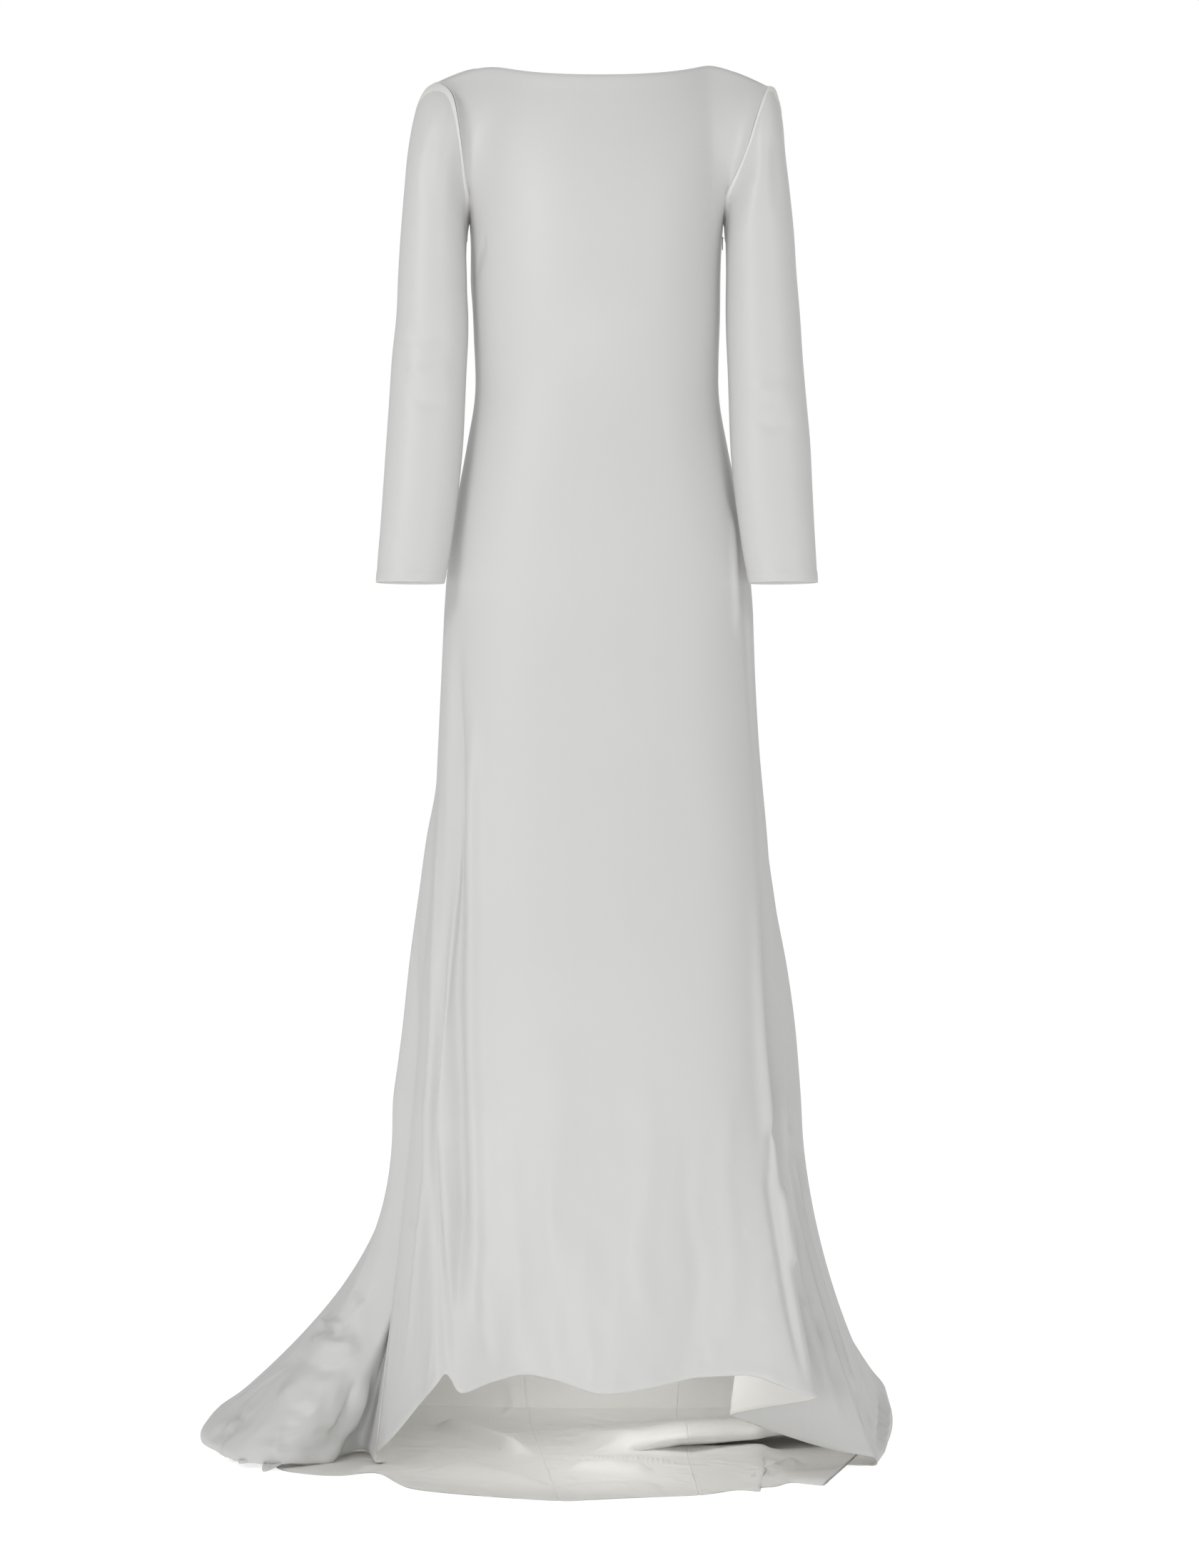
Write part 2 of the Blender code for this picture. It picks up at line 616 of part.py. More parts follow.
def zip_pull(pin):
    """Make the pull: an eye round the slider's pin and a narrow tab hanging from it."""
    x, y, z = pin
    count = 20
    outer, inner = [], []
    for k in range(count):
        turn = 2.0 * math.pi * (k + 0.5) / count
        across, up = math.sin(turn), math.cos(turn)
        inner.append((x + EYE_HOLE * across, z + EYE_HOLE * up))
        outer.append((x + EYE_RADIUS * across, z + EYE_RADIUS * up))
    half = PULL_THICK / 2.0
    low = z - PULL_LENGTH
    outer[8] = (x + half, z - EYE_RADIUS * 0.8)
    outer[9] = (x + half * 0.7, low)
    outer[10] = (x - half * 0.7, low)
    outer[11] = (x - half, z - EYE_RADIUS * 0.8)
    points = []
    for side in (-0.5, 0.5):
        for across, up in outer + inner:
            narrow = 1.0 if up > low + 0.1 else 0.8
            points.append((across * 0.001, (y + side * PULL_WIDTH * narrow) * 0.001, up * 0.001))
    faces = []
    near_out, near_in, far_out, far_in = 0, count, 2 * count, 3 * count
    for k in range(count):
        n = (k + 1) % count
        faces.append((near_out + k, near_in + k, near_in + n, near_out + n))
        faces.append((far_out + k, far_out + n, far_in + n, far_in + k))
        faces.append((near_out + k, near_out + n, far_out + n, far_out + k))
        faces.append((near_in + k, far_in + k, far_in + n, near_in + n))
    mesh = bpy.data.meshes.new("zip_pull")
    mesh.from_pydata(points, [], faces)
    mesh.update()
    thing = bpy.data.objects.new("zip_pull", mesh)
    bpy.context.scene.collection.objects.link(thing)
    return thing


def main():
    """Build the gown."""
    for thing in list(bpy.data.objects):
        bpy.data.objects.remove(thing)
    front = cloth_grid(True)
    back = cloth_grid(False)[:, ::-1]
    left_sleeve = sleeve_grid(-1, front, back)
    right_sleeve = sleeve_grid(1, front, back)
    sheets = {
        "front": (front, grid_normals(front)),
        "back": (back, grid_normals(back)),
        "sleeve_left": (left_sleeve, grid_normals(left_sleeve, True)),
        "sleeve_right": (right_sleeve, grid_normals(right_sleeve, True)),
    }
    for name, shares in (("front", FRONT_COLUMNS), ("back", BACK_COLUMNS[::-1])):
        for j, share in enumerate(shares):
            near = 1.0 - abs(share) if name == "front" else min(share, 1.0 - share)
            if near > (1.0 - NECK_SHARE if name == "front" else SCOOP_SHARE) + 1e-6:
                continue
            side = -1.0 if sheets[name][0][0, j, 0] < 0.0 else 1.0
            sheets[name][1][0, j] = np.array([side * 0.35, 0.0, 0.937])
    share_normals(sheets)
    shares = BACK_COLUMNS[::-1]
    cuts = [0, shares.index(BACK_SEAMS[1]), shares.index(BACK_SEAMS[0]), len(shares) - 1]
    panels = {"front": (front, sheets["front"][1])}
    for k, name in enumerate(("side_back_right", "back", "side_back_left")):
        span = slice(cuts[k], cuts[k + 1] + 1)
        panels[name] = (back[:, span].copy(), sheets["back"][1][:, span])
    for name, (grid, normals) in panels.items():
        draw_in(grid, normals, 0, False, SEAM_GAP / 2.0)
        draw_in(grid, normals, 1, False, SEAM_GAP / 2.0)
        draw_in(grid, normals, 1, True, SEAM_GAP / 2.0)
        shell(name, grid, normals)
    for name in ("sleeve_left", "sleeve_right"):
        grid, normals = sheets[name]
        draw_in(grid, normals, 0, False, SEAM_GAP / 2.0)
        shell(name, grid, normals, ring=True)
    seam = front_section(1.0, ZIP_HEIGHT)
    face = seam[0] + 0.3 + SLIDER_THICK
    pin = (face + EYE_RADIUS + PULL_CLEAR, seam[1], ZIP_HEIGHT)
    zip_slider(pin)
    zip_pull(pin)
    print("zip pin", [round(value, 2) for value in pin])


main()
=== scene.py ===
# %% [markdown]
# An evening gown, dressed on its frame
#
# The gown is white satin with a bateau neck, long sleeves and a sweep train. Its rigid frame was
# packed first. This script lays real-looking cloth on that frame, one panel at a time, in the
# order in which a dressmaker would work: cut, sew, press, hang.

# %% Load the frame
import math
from functools import lru_cache

import bpy
import numpy as np
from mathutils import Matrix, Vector
from mathutils.bvhtree import BVHTree


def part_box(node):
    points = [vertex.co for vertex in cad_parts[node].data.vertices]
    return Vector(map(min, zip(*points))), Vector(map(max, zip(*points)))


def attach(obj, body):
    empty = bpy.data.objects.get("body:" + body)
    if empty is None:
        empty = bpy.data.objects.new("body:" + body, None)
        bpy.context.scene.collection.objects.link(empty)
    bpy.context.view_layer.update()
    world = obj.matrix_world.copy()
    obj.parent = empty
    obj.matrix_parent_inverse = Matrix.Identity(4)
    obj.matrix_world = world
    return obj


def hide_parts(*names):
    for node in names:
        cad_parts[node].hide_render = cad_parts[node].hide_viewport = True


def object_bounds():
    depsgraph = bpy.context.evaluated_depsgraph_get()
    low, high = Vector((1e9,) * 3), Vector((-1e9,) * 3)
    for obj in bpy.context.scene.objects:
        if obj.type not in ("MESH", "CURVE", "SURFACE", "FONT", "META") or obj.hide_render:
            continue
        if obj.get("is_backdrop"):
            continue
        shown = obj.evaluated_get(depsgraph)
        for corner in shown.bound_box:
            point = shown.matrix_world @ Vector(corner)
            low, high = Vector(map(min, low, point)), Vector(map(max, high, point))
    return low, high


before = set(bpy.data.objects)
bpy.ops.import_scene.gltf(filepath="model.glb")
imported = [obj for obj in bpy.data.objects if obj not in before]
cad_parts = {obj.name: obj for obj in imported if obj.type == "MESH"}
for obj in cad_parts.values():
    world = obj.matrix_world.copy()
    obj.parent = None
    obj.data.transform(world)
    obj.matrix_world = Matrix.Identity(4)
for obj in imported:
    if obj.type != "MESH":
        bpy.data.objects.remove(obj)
CAD_BOX = [list(corner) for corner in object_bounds()]
print("frame nodes:", sorted(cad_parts))

# %% [markdown]
# The camera
#
# The photograph looks at the middle of the gown from about 4.5 m, from 0.8 m over the floor. A
# camera could be tilted, but then upright lines would lean. Here it stays level, at the height
# of the picture's middle, so nothing leans and the picture needs no shift.

# %% Camera
MM = 0.001
FLOOR = -1647.0
PICTURE_WIDE = 1680.0
PICTURE_TALL = 2197.0
CAMERA_AWAY = 4.5
CAMERA_HIGH = 0.8
FOCAL_PIXELS = 5357.0

bpy.ops.object.select_all(action="DESELECT")
bpy.ops.object.camera_add(location=(0.0, -CAMERA_AWAY, FLOOR * MM + CAMERA_HIGH),
                          rotation=(math.pi / 2.0, 0.0, 0.0))
camera = bpy.context.object
camera.name = "camera"
camera.data.sensor_width = 36.0
camera.data.lens = 36.0 * FOCAL_PIXELS / PICTURE_TALL
camera.data.clip_start = 0.1
camera.data.clip_end = 60.0
bpy.context.scene.camera = camera
print("lens", round(camera.data.lens, 1), "mm")

# %% [markdown]
# The room
#
# The photograph has plain white all round. A pale floor and an even white room light keep the
# background pale. The floor looks brighter to the camera than it shines on the cloth, so that it
# doesn't wash out the folds. A soft lamp from the left draws the folds, a weaker one from the
# right fills them, and one from behind lights the edges. Small ones near the floor open up the
# shadows under the hem, beside the train and inside the skirt.

# %% Floor
FLOOR_SIZE = 60.0
FLOOR_GLOW = 0.26
FLOOR_SEEN = 0.62
bpy.ops.object.select_all(action="DESELECT")
bpy.ops.mesh.primitive_plane_add(size=FLOOR_SIZE, location=(0.0, 0.0, FLOOR * MM))
bpy.ops.object.transform_apply(location=True, rotation=True, scale=True)
floor = bpy.context.object
floor.name = "floor"
floor_paint = bpy.data.materials.new("pale_floor")
floor_paint.use_nodes = True
floor_shader = floor_paint.node_tree.nodes["Principled BSDF"]
floor_shader.inputs["Base Color"].default_value = (0.93, 0.93, 0.93, 1.0)
floor_shader.inputs["Roughness"].default_value = 0.9
floor_shader.inputs["Specular IOR Level"].default_value = 0.1
floor_shader.inputs["Emission Color"].default_value = (1.0, 1.0, 1.0, 1.0)
floor_tree = floor_paint.node_tree
floor_seen = floor_tree.nodes.new("ShaderNodeLightPath")
floor_glow = floor_tree.nodes.new("ShaderNodeMapRange")
floor_glow.inputs["To Min"].default_value = FLOOR_GLOW
floor_glow.inputs["To Max"].default_value = FLOOR_SEEN
floor_tree.links.new(floor_seen.outputs["Is Camera Ray"], floor_glow.inputs["Value"])
floor_tree.links.new(floor_glow.outputs["Result"], floor_shader.inputs["Emission Strength"])
floor.data.materials.append(floor_paint)
floor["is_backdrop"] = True
print("floor at", round(FLOOR * MM, 3), "m")


# %% Lights
ROOM_LIGHT = 0.46
BACKGROUND = 1.0
LAMPS = (
    ("key", (-2.5, -2.8, 1.4), (0.0, 0.0, -0.35), 1.4, 33.0),
    ("fill", (2.5, -3.1, 1.2), (0.0, 0.0, -0.35), 1.6, 15.0),
    ("under", (-0.3, -3.0, -1.42), (-0.05, 0.1, -1.62), 0.6, 4.0),
    ("train", (-0.7, -2.5, -1.25), (-0.29, 0.05, -1.5), 0.4, 4.4),
    ("inside", (0.0, -0.10, -1.38), (0.02, 0.22, -1.63), 0.10, 0.50),
    ("back", (0.4, 3.0, 1.2), (0.0, 0.0, -0.7), 3.0, 10.0),
)


def add_lamp(name, place, target, size, power):
    """Add one soft square lamp, of a size in metres and a power in watts, aimed at a target."""
    bpy.ops.object.select_all(action="DESELECT")
    bpy.ops.object.light_add(type="AREA", location=place)
    lamp = bpy.context.object
    lamp.name = name
    lamp.data.size = size
    lamp.data.energy = power
    aim = Vector(target) - Vector(place)
    lamp.rotation_euler = aim.to_track_quat("-Z", "Y").to_euler()
    return lamp


for row in LAMPS:
    add_lamp(*row)
room = bpy.data.worlds.new("room")
bpy.context.scene.world = room
room.use_nodes = True
room_tree = room.node_tree
room_light = room_tree.nodes["Background"]
room_light.inputs["Color"].default_value = (1.0, 1.0, 1.0, 1.0)
room_light.inputs["Strength"].default_value = ROOM_LIGHT
backdrop = room_tree.nodes.new("ShaderNodeBackground")
backdrop.inputs["Color"].default_value = (1.0, 1.0, 1.0, 1.0)
backdrop.inputs["Strength"].default_value = BACKGROUND
seen = room_tree.nodes.new("ShaderNodeLightPath")
choice = room_tree.nodes.new("ShaderNodeMixShader")
room_tree.links.new(seen.outputs["Is Camera Ray"], choice.inputs[0])
room_tree.links.new(room_light.outputs[0], choice.inputs[1])
room_tree.links.new(backdrop.outputs[0], choice.inputs[2])
room_tree.links.new(choice.outputs[0], room_tree.nodes["World Output"].inputs["Surface"])
bpy.context.scene.view_settings.view_transform = "Standard"
print("lamps:", len(LAMPS))

# %% [markdown]
# The satin
#
# Satin is a weave of long floating threads: smooth and softly shiny outside, duller inside. Its
# threads are far finer than a pixel of the picture, so they are a faint bump that follows the
# cloth's own UV map. Handling has left slight crumples low down. They are a second, broader bump,
# and each panel's "crumple" attribute says where they are strong. Both effects are shader groups,
# so that the outside and the inside of the cloth share them.

# %% Shader groups


def new_group(name, inputs, outputs):
    """Start a shader group with named number inputs and outputs."""
    group = bpy.data.node_groups.new(name, "ShaderNodeTree")
    for title, value in inputs:
        socket = group.interface.new_socket(title, in_out="INPUT", socket_type="NodeSocketFloat")
        socket.default_value = value
    for title in outputs:
        group.interface.new_socket(title, in_out="OUTPUT", socket_type="NodeSocketFloat")
    return group, group.nodes.new("NodeGroupInput"), group.nodes.new("NodeGroupOutput")


def arithmetic(tree, operation, first, second):
    """Add a Math node and join or set its two inputs."""
    node = tree.nodes.new("ShaderNodeMath")
    node.operation = operation
    for place, value in enumerate((first, second)):
        if isinstance(value, bpy.types.NodeSocket):
            tree.links.new(value, node.inputs[place])
        else:
            node.inputs[place].default_value = value
    return node.outputs[0]


def make_weave_group():
    """Threads of the satin: a height of fine long floats across the cloth's UV map, in metres."""
    group, given, result = new_group("satin_threads", (("Thread", 0.0006), ("Float", 0.006)), ("Height",))
    uv = group.nodes.new("ShaderNodeUVMap")
    uv.uv_map = "cloth"
    split = group.nodes.new("ShaderNodeSeparateXYZ")
    group.links.new(uv.outputs["UV"], split.inputs[0])
    join = group.nodes.new("ShaderNodeCombineXYZ")
    across = arithmetic(group, "DIVIDE", split.outputs["X"], given.outputs["Thread"])
    along = arithmetic(group, "DIVIDE", split.outputs["Y"], given.outputs["Float"])
    group.links.new(across, join.inputs["X"])
    group.links.new(along, join.inputs["Y"])
    noise = group.nodes.new("ShaderNodeTexNoise")
    noise.inputs["Scale"].default_value = 1.0
    noise.inputs["Detail"].default_value = 2.0
    group.links.new(join.outputs[0], noise.inputs["Vector"])
    group.links.new(noise.outputs["Fac"], result.inputs["Height"])
    return group


def make_crumple_group():
    """Soft handling creases: a height and a faint shade, strong where the attribute says."""
    group, given, result = new_group("handling_crumples", (("Size", 22.0),), ("Height", "Shade"))
    place = group.nodes.new("ShaderNodeTexCoord")
    stretch = group.nodes.new("ShaderNodeMapping")
    stretch.inputs["Scale"].default_value = (1.0, 1.0, 0.45)
    group.links.new(place.outputs["Object"], stretch.inputs["Vector"])
    ridged = group.nodes.new("ShaderNodeTexNoise")
    ridged.noise_type = "RIDGED_MULTIFRACTAL"
    ridged.inputs["Detail"].default_value = 2.0
    ridged.inputs["Roughness"].default_value = 0.4
    ridged.inputs["Distortion"].default_value = 0.6
    soft = group.nodes.new("ShaderNodeTexNoise")
    soft.inputs["Scale"].default_value = 3.0
    soft.inputs["Detail"].default_value = 3.0
    for node in (ridged, soft):
        group.links.new(stretch.outputs[0], node.inputs["Vector"])
    group.links.new(given.outputs["Size"], ridged.inputs["Scale"])
    mask = group.nodes.new("ShaderNodeAttribute")
    mask.attribute_name = "crumple"
    height = arithmetic(group, "MULTIPLY", ridged.outputs["Fac"], mask.outputs["Fac"])
    group.links.new(height, result.inputs["Height"])
    group.links.new(soft.outputs["Fac"], result.inputs["Shade"])
    return group


WEAVE = make_weave_group()
CRUMPLES = make_crumple_group()
print("shader groups:", WEAVE.name, CRUMPLES.name)

# %% Satin materials
SATIN_LIGHT = (0.735, 0.735, 0.726, 1.0)
SATIN_DARK = (0.700, 0.699, 0.688, 1.0)
# The inside colours are lighter and creamier than the outside's: painted warm bounce light for the shaded
# inside of the skirt and train.
INSIDE_PAINTED_BOUNCE_LIGHT = (0.860, 0.853, 0.828, 1.0)
INSIDE_PAINTED_BOUNCE_DARK = (0.840, 0.831, 0.800, 1.0)


def satin(name, light, dark, rough_low, rough_high, sheen, crumple_depth):
    """Make one side of the satin: colour drifts a little, and threads and crumples are bumps."""
    material = bpy.data.materials.new(name)
    material.use_nodes = True
    tree = material.node_tree
    shader = tree.nodes["Principled BSDF"]
    weave = tree.nodes.new("ShaderNodeGroup")
    weave.node_tree = WEAVE
    crumples = tree.nodes.new("ShaderNodeGroup")
    crumples.node_tree = CRUMPLES
    colours = tree.nodes.new("ShaderNodeValToRGB")
    colours.color_ramp.elements[0].position = 0.3
    colours.color_ramp.elements[0].color = dark
    colours.color_ramp.elements[1].position = 0.7
    colours.color_ramp.elements[1].color = light
    tree.links.new(crumples.outputs["Shade"], colours.inputs["Fac"])
    tree.links.new(colours.outputs["Color"], shader.inputs["Base Color"])
    rough = tree.nodes.new("ShaderNodeMapRange")
    rough.inputs["To Min"].default_value = rough_low
    rough.inputs["To Max"].default_value = rough_high
    tree.links.new(crumples.outputs["Shade"], rough.inputs["Value"])
    tree.links.new(rough.outputs["Result"], shader.inputs["Roughness"])
    broad = tree.nodes.new("ShaderNodeBump")
    broad.inputs["Distance"].default_value = crumple_depth
    broad.inputs["Strength"].default_value = 0.6
    fine = tree.nodes.new("ShaderNodeBump")
    fine.inputs["Distance"].default_value = 0.00006
    fine.inputs["Strength"].default_value = 0.35
    tree.links.new(crumples.outputs["Height"], broad.inputs["Height"])
    tree.links.new(weave.outputs["Height"], fine.inputs["Height"])
    tree.links.new(broad.outputs["Normal"], fine.inputs["Normal"])
    tree.links.new(fine.outputs["Normal"], shader.inputs["Normal"])
    shader.inputs["Specular IOR Level"].default_value = 0.5
    shader.inputs["Sheen Weight"].default_value = sheen
    shader.inputs["Sheen Roughness"].default_value = 0.4
    return material


SATIN_OUTSIDE = satin("satin_outside", SATIN_LIGHT, SATIN_DARK, 0.38, 0.46, 0.03, 0.0130)
# The inside satin is duller, and its colour is painted warm bounce light.
SATIN_INSIDE_PAINTED_BOUNCE = satin("satin_inside_painted_bounce", INSIDE_PAINTED_BOUNCE_LIGHT, INSIDE_PAINTED_BOUNCE_DARK, 0.50, 0.60, 0.03, 0.0090)
print("cloth materials:", SATIN_OUTSIDE.name, SATIN_INSIDE_PAINTED_BOUNCE.name)

# %% [markdown]
# The cut
#
# The gown's form is worked out from the same named sizes as its frame, but with many more points.
# Rows of sections give the body, a row for each point of the hem gives the flare, and a short
# table gives the way in which the train lies on the floor. A curve that never overshoots joins
# the rows, so that the cloth stays smooth.

# %% Sizes of the cut, in millimetres
WALL = 1.1
NECK_HALF = 130.0
NECK_DROP = 23.0
SCOOP_DEPTH = 150.0
ARM_TOP = -22.0
ARM_LOW = -182.0
CALF = -1225.0
ARM_STEPS = 9
DRESS_ROUND = 2.3
ZIP_HEIGHT = -201.0
TOP_DEPTH = 3.0
SHOULDER_ARCH = 3.5
NECK_FORWARD = 60.0
SCOOP_BACKWARD = 80.0
ARM_MIDDLE = 5.0
ARM_FORWARD = -57.0
ARM_BACKWARD = 47.0
RIGHT_ARM_LOWER = 4.5
NECK_SHARE = 0.76
SCOOP_SHARE = 0.09
BACK_SEAMS = (0.36, 0.64)

# The dress's sections: height, seam on each side, widest on each side, front and back depth,
# how far the side seams lie in front of (-) or behind (+) the middle, and how square the front is.
SECTION_NAMES = ("z", "seam_l", "seam_r", "out_l", "out_r", "front", "back", "seam_y", "square")
SECTIONS = (
    (-182, 152, 142, 152, 142, 108, 92, 24, 2.3),
    (-215, 153, 142, 163, 143, 115, 93, 26, 2.3),
    (-250, 153, 142, 165, 158, 118, 91, 26, 2.3),
    (-290, 150, 143, 152, 148, 113, 86, 24, 2.3),
    (-335, 147, 140, 149, 143, 103, 80, 20, 2.3),
    (-380, 146, 140, 146, 140, 100, 80, 17, 2.3),
    (-430, 153, 147, 153, 147, 102, 90, 14, 2.3),
    (-490, 164, 159, 164, 159, 107, 106, 11, 2.3),
    (-560, 176, 172, 176, 173, 111, 119, 8, 2.35),
    (-634, 182, 180, 182, 181, 114, 124, 5, 2.4),
    (-720, 186, 183, 187, 184, 121, 126, 3, 2.5),
    (-810, 190, 188, 192, 190, 130, 130, 0, 2.6),
    (-900, 194, 196, 213, 200, 142, 136, -2, 2.75),
    (-980, 198, 201, 227, 218, 153, 144, -4, 2.9),
    (-1054, 205, 203, 238, 234, 164, 153, -6, 3.05),
    (-1140, 211, 206, 247, 246, 174, 168, -8, 3.25),
    (-1225, 218, 213, 258, 253, 184, 186, -10, 3.5),
)

# The front's hem, from the left side seam to the right one: share of the way round the front,
# place, height over the floor, and how late the flare opens (1 is a straight slope).
FRONT_HEM_NAMES = ("share", "x", "y", "high", "late")
FRONT_HEM = (
    (-1.00, -262, -22, 15, 1.0),
    (-0.87, -234, -92, 52, 1.1),
    (-0.74, -203, -165, 98, 1.2),
    (-0.62, -182, -216, 128, 1.25),
    (-0.585, -172, -212, 139, 1.25),
    (-0.53, -156, -222, 118, 1.2),
    (-0.43, -125, -214, 128, 1.1),
    (-0.30, -84, -206, 137, 1.0),
    (-0.16, -42, -216, 130, 1.0),
    (0.00, 3, -228, 118, 1.0),
    (0.16, 58, -222, 124, 1.0),
    (0.30, 108, -212, 134, 1.0),
    (0.44, 166, -212, 137, 1.05),
    (0.54, 208, -216, 124, 1.1),
    (0.600, 238, -210, 113, 1.2),
    (0.625, 245, -199, 111, 1.3),
    (0.650, 238, -184, 105, 1.4),
    (0.70, 196, -126, 88, 1.5),
    (0.740, 158, -76, 72, 1.6),
    (0.760, 151, -62, 67, 1.6),
    (0.785, 160, -52, 63, 1.6),
    (0.85, 216, -50, 42, 1.5),
    (0.92, 268, -48, 26, 1.45),
    (1.00, 322, -43, 15, 1.4),
)

# The back's foot, from the left side seam round to the right one: share of the way round the
# back, the rolled rim where the cloth meets the floor, its height, how late it spreads, and the
# hem that is turned under it, with its height and the depth of the fold in the cloth between.
BACK_FOOT_NAMES = ("share", "x", "y", "high", "late", "hem_x", "hem_y", "hem_high", "fold")
BACK_FOOT = (
    (0.000, -262, -22, 15, 1.0, -250, -14, 5.0, 0.0),
    (0.030, -283, 58, 20, 1.8, -281, 75, 7.0, 0.0),
    (0.065, -331, -16, 21, 3.0, -336, 0, 7.5, 0.0),
    (0.100, -374, -44, 21, 2.5, -373, -24, 7.5, 0.0),
    (0.135, -418, -30, 21, 2.2, -408, -12, 7.5, 0.0),
    (0.170, -455, 42, 21, 2.1, -438, 50, 7.0, 0.0),
    (0.210, -483, 150, 19, 2.0, -468, 147, 4.5, 0.0),
    (0.225, -480, 242, 18, 1.9, -450, 140, 2.2, 0.0),
    (0.245, -434, 310, 18, 1.8, -405, 60, 1.2, 0.0),
    (0.270, -372, 328, 17, 2.0, -366, -52, 1.0, 0.0),
    (0.295, -306, 336, 17, 1.8, -303, -84, 1.0, 0.0),
    (0.315, -242, 337, 17, 1.6, -262, -62, 1.0, 0.0),
    (0.337, -168, 333, 17, 1.5, -212, -166, 1.0, 0.0),
    (0.360, -92, 324, 17, 1.4, -46, -238, 1.0, 0.0),
    (0.440, -40, 319, 17, 1.3, -14, -232, 1.0, 0.05),
    (0.500, 0, 316, 17, 1.3, 16, -224, 1.0, 0.30),
    (0.535, 24, 317, 17, 1.3, 40, -219, 1.0, 0.50),
    (0.570, 48, 318, 17, 1.3, 64, -214, 1.0, 0.68),
    (0.605, 72, 319, 17, 1.35, 88, -209, 1.0, 0.86),
    (0.640, 96, 320, 17, 1.4, 112, -203, 1.0, 1.0),
    (0.680, 196, 336, 17, 1.6, 172, -160, 1.0, 1.0),
    (0.720, 296, 358, 24, 1.8, 200, -150, 1.0, 1.0),
    (0.760, 364, 345, 32, 1.8, 222, -110, 1.0, 1.0),
    (0.810, 364, 262, 22, 1.85, 240, -62, 1.0, 0.8),
    (0.850, 357, 184, 18, 1.75, 252, -40, 1.1, 0.55),
    (0.880, 348, 124, 18, 1.75, 262, -24, 1.3, 0.30),
    (0.910, 341, 84, 18, 1.6, 272, -14, 2.2, 0.1),
    (0.955, 333, 18, 18, 1.4, 298, -30, 4.0, 0.0),
    (1.000, 322, -43, 15, 1.4, 309, -37, 5.0, 0.0),
)

# The train's run from under the rim to its hem: share of the way where it lies flat, where it
# drops in a step and where it folds over itself, and the height of the last two.
TRAIN_RUN_NAMES = ("flat", "step", "fold", "step_high", "fold_high")
TRAIN_RUN = (
    (0.10, 0.16, 0.13, 6.0, 8.0),
    (0.21, 0.32, 0.31, 15.0, 23.0),
    (0.32, 0.43, 0.46, 19.0, 33.0),
    (0.40, 0.470, 0.530, 18.0, 31.0),
    (0.46, 0.490, 0.545, 14.5, 24.0),
    (0.52, 0.500, 0.510, 11.0, 18.5),
    (0.58, 0.507, 0.425, 8.0, 15.5),
    (0.64, 0.515, 0.360, 5.0, 10.5),
    (0.70, 0.530, 0.350, 2.6, 5.0),
    (0.78, 0.60, 0.425, 1.3, 1.4),
    (0.86, 0.73, 0.60, 1.0, 1.0),
    (0.93, 0.86, 0.80, 1.0, 1.0),
    (1.00, 1.00, 1.00, 1.0, 1.0),
)

# Long soft folds in the skirt: which cloth, where it starts and ends round it and in height,
# its width as a share, and its depth at the bottom (a valley is minus).
FOLD_NAMES = ("cloth", "top_share", "low_share", "top_z", "low_z", "width", "depth")
FOLDS = (
    ("front", -0.70, -0.585, -760, -1225, 0.040, -10),
    ("front", -0.62, -0.53, -800, -1225, 0.045, 5),
    ("front", 0.66, 0.61, -900, -1225, 0.045, 9),
    ("front", 0.80, 0.76, -760, -1225, 0.055, -24),
    ("front", 0.90, 0.87, -1000, -1225, 0.050, 7),
    ("back", 0.10, 0.045, -900, -1225, 0.035, -16),
    ("back", 0.24, 0.22, -900, -1225, 0.050, 14),
    ("back", 0.42, 0.42, -760, -1225, 0.050, -12),
    ("back", 0.58, 0.58, -800, -1225, 0.050, -12),
    ("back", 0.50, 0.50, -760, -1225, 0.050, 12),
    ("back", 0.76, 0.76, -900, -1225, 0.050, 12),
    ("back", 0.90, 0.93, -900, -1225, 0.035, -10),
)

# The armholes: the seam's distance from the middle, at shares of the way up from the underarm.
ARMHOLE_NAMES = ("up", "left_x", "right_x")
ARMHOLE = (
    (0.00, 152, 142),
    (0.12, 153, 146),
    (0.25, 157, 156),
    (0.50, 161, 173),
    (0.72, 166, 183),
    (0.87, 171, 191),
    (0.96, 182, 196),
    (1.00, 194, 200),
)

# The sleeves: distance from the middle of the outer and inner edge, their heights, how far
# forward (-) the middle of the sleeve lies, and its half depth.
SLEEVE_NAMES = ("out_l", "in_l", "out_r", "in_r", "out_z", "in_z", "y", "half")
SLEEVES = (
    (203, 154.5, 204, 147.0, -27, -188, 1, 51),
    (212, 155.8, 210, 147.8, -42, -198, -6, 48),
    (219, 156.0, 215, 148.0, -68, -211, -12, 46),
    (225, 156.0, 218, 148.0, -105, -228, -16, 44),
    (229, 155.4, 223, 148.0, -150, -248, -19, 43),
    (233, 154.8, 228, 147.6, -200, -272, -21, 43),
    (236, 153.4, 231, 147.4, -250, -298, -24, 43),
    (238, 153.4, 235, 148.0, -300, -328, -27, 43),
    (243, 155.0, 238, 149.4, -350, -362, -31, 42),
    (246, 156.6, 242, 150.6, -400, -404, -36, 41),
    (249, 158.6, 246, 152.0, -450, -450, -43, 39),
    (252, 163.0, 248, 155.6, -500, -500, -50, 37),
    (255, 169.0, 250, 162.0, -550, -550, -58, 34),
    (258, 175.0, 252, 168.0, -590, -590, -63, 32),
    (259, 180.0, 253, 173.5, -613, -614, -66, 31),
)

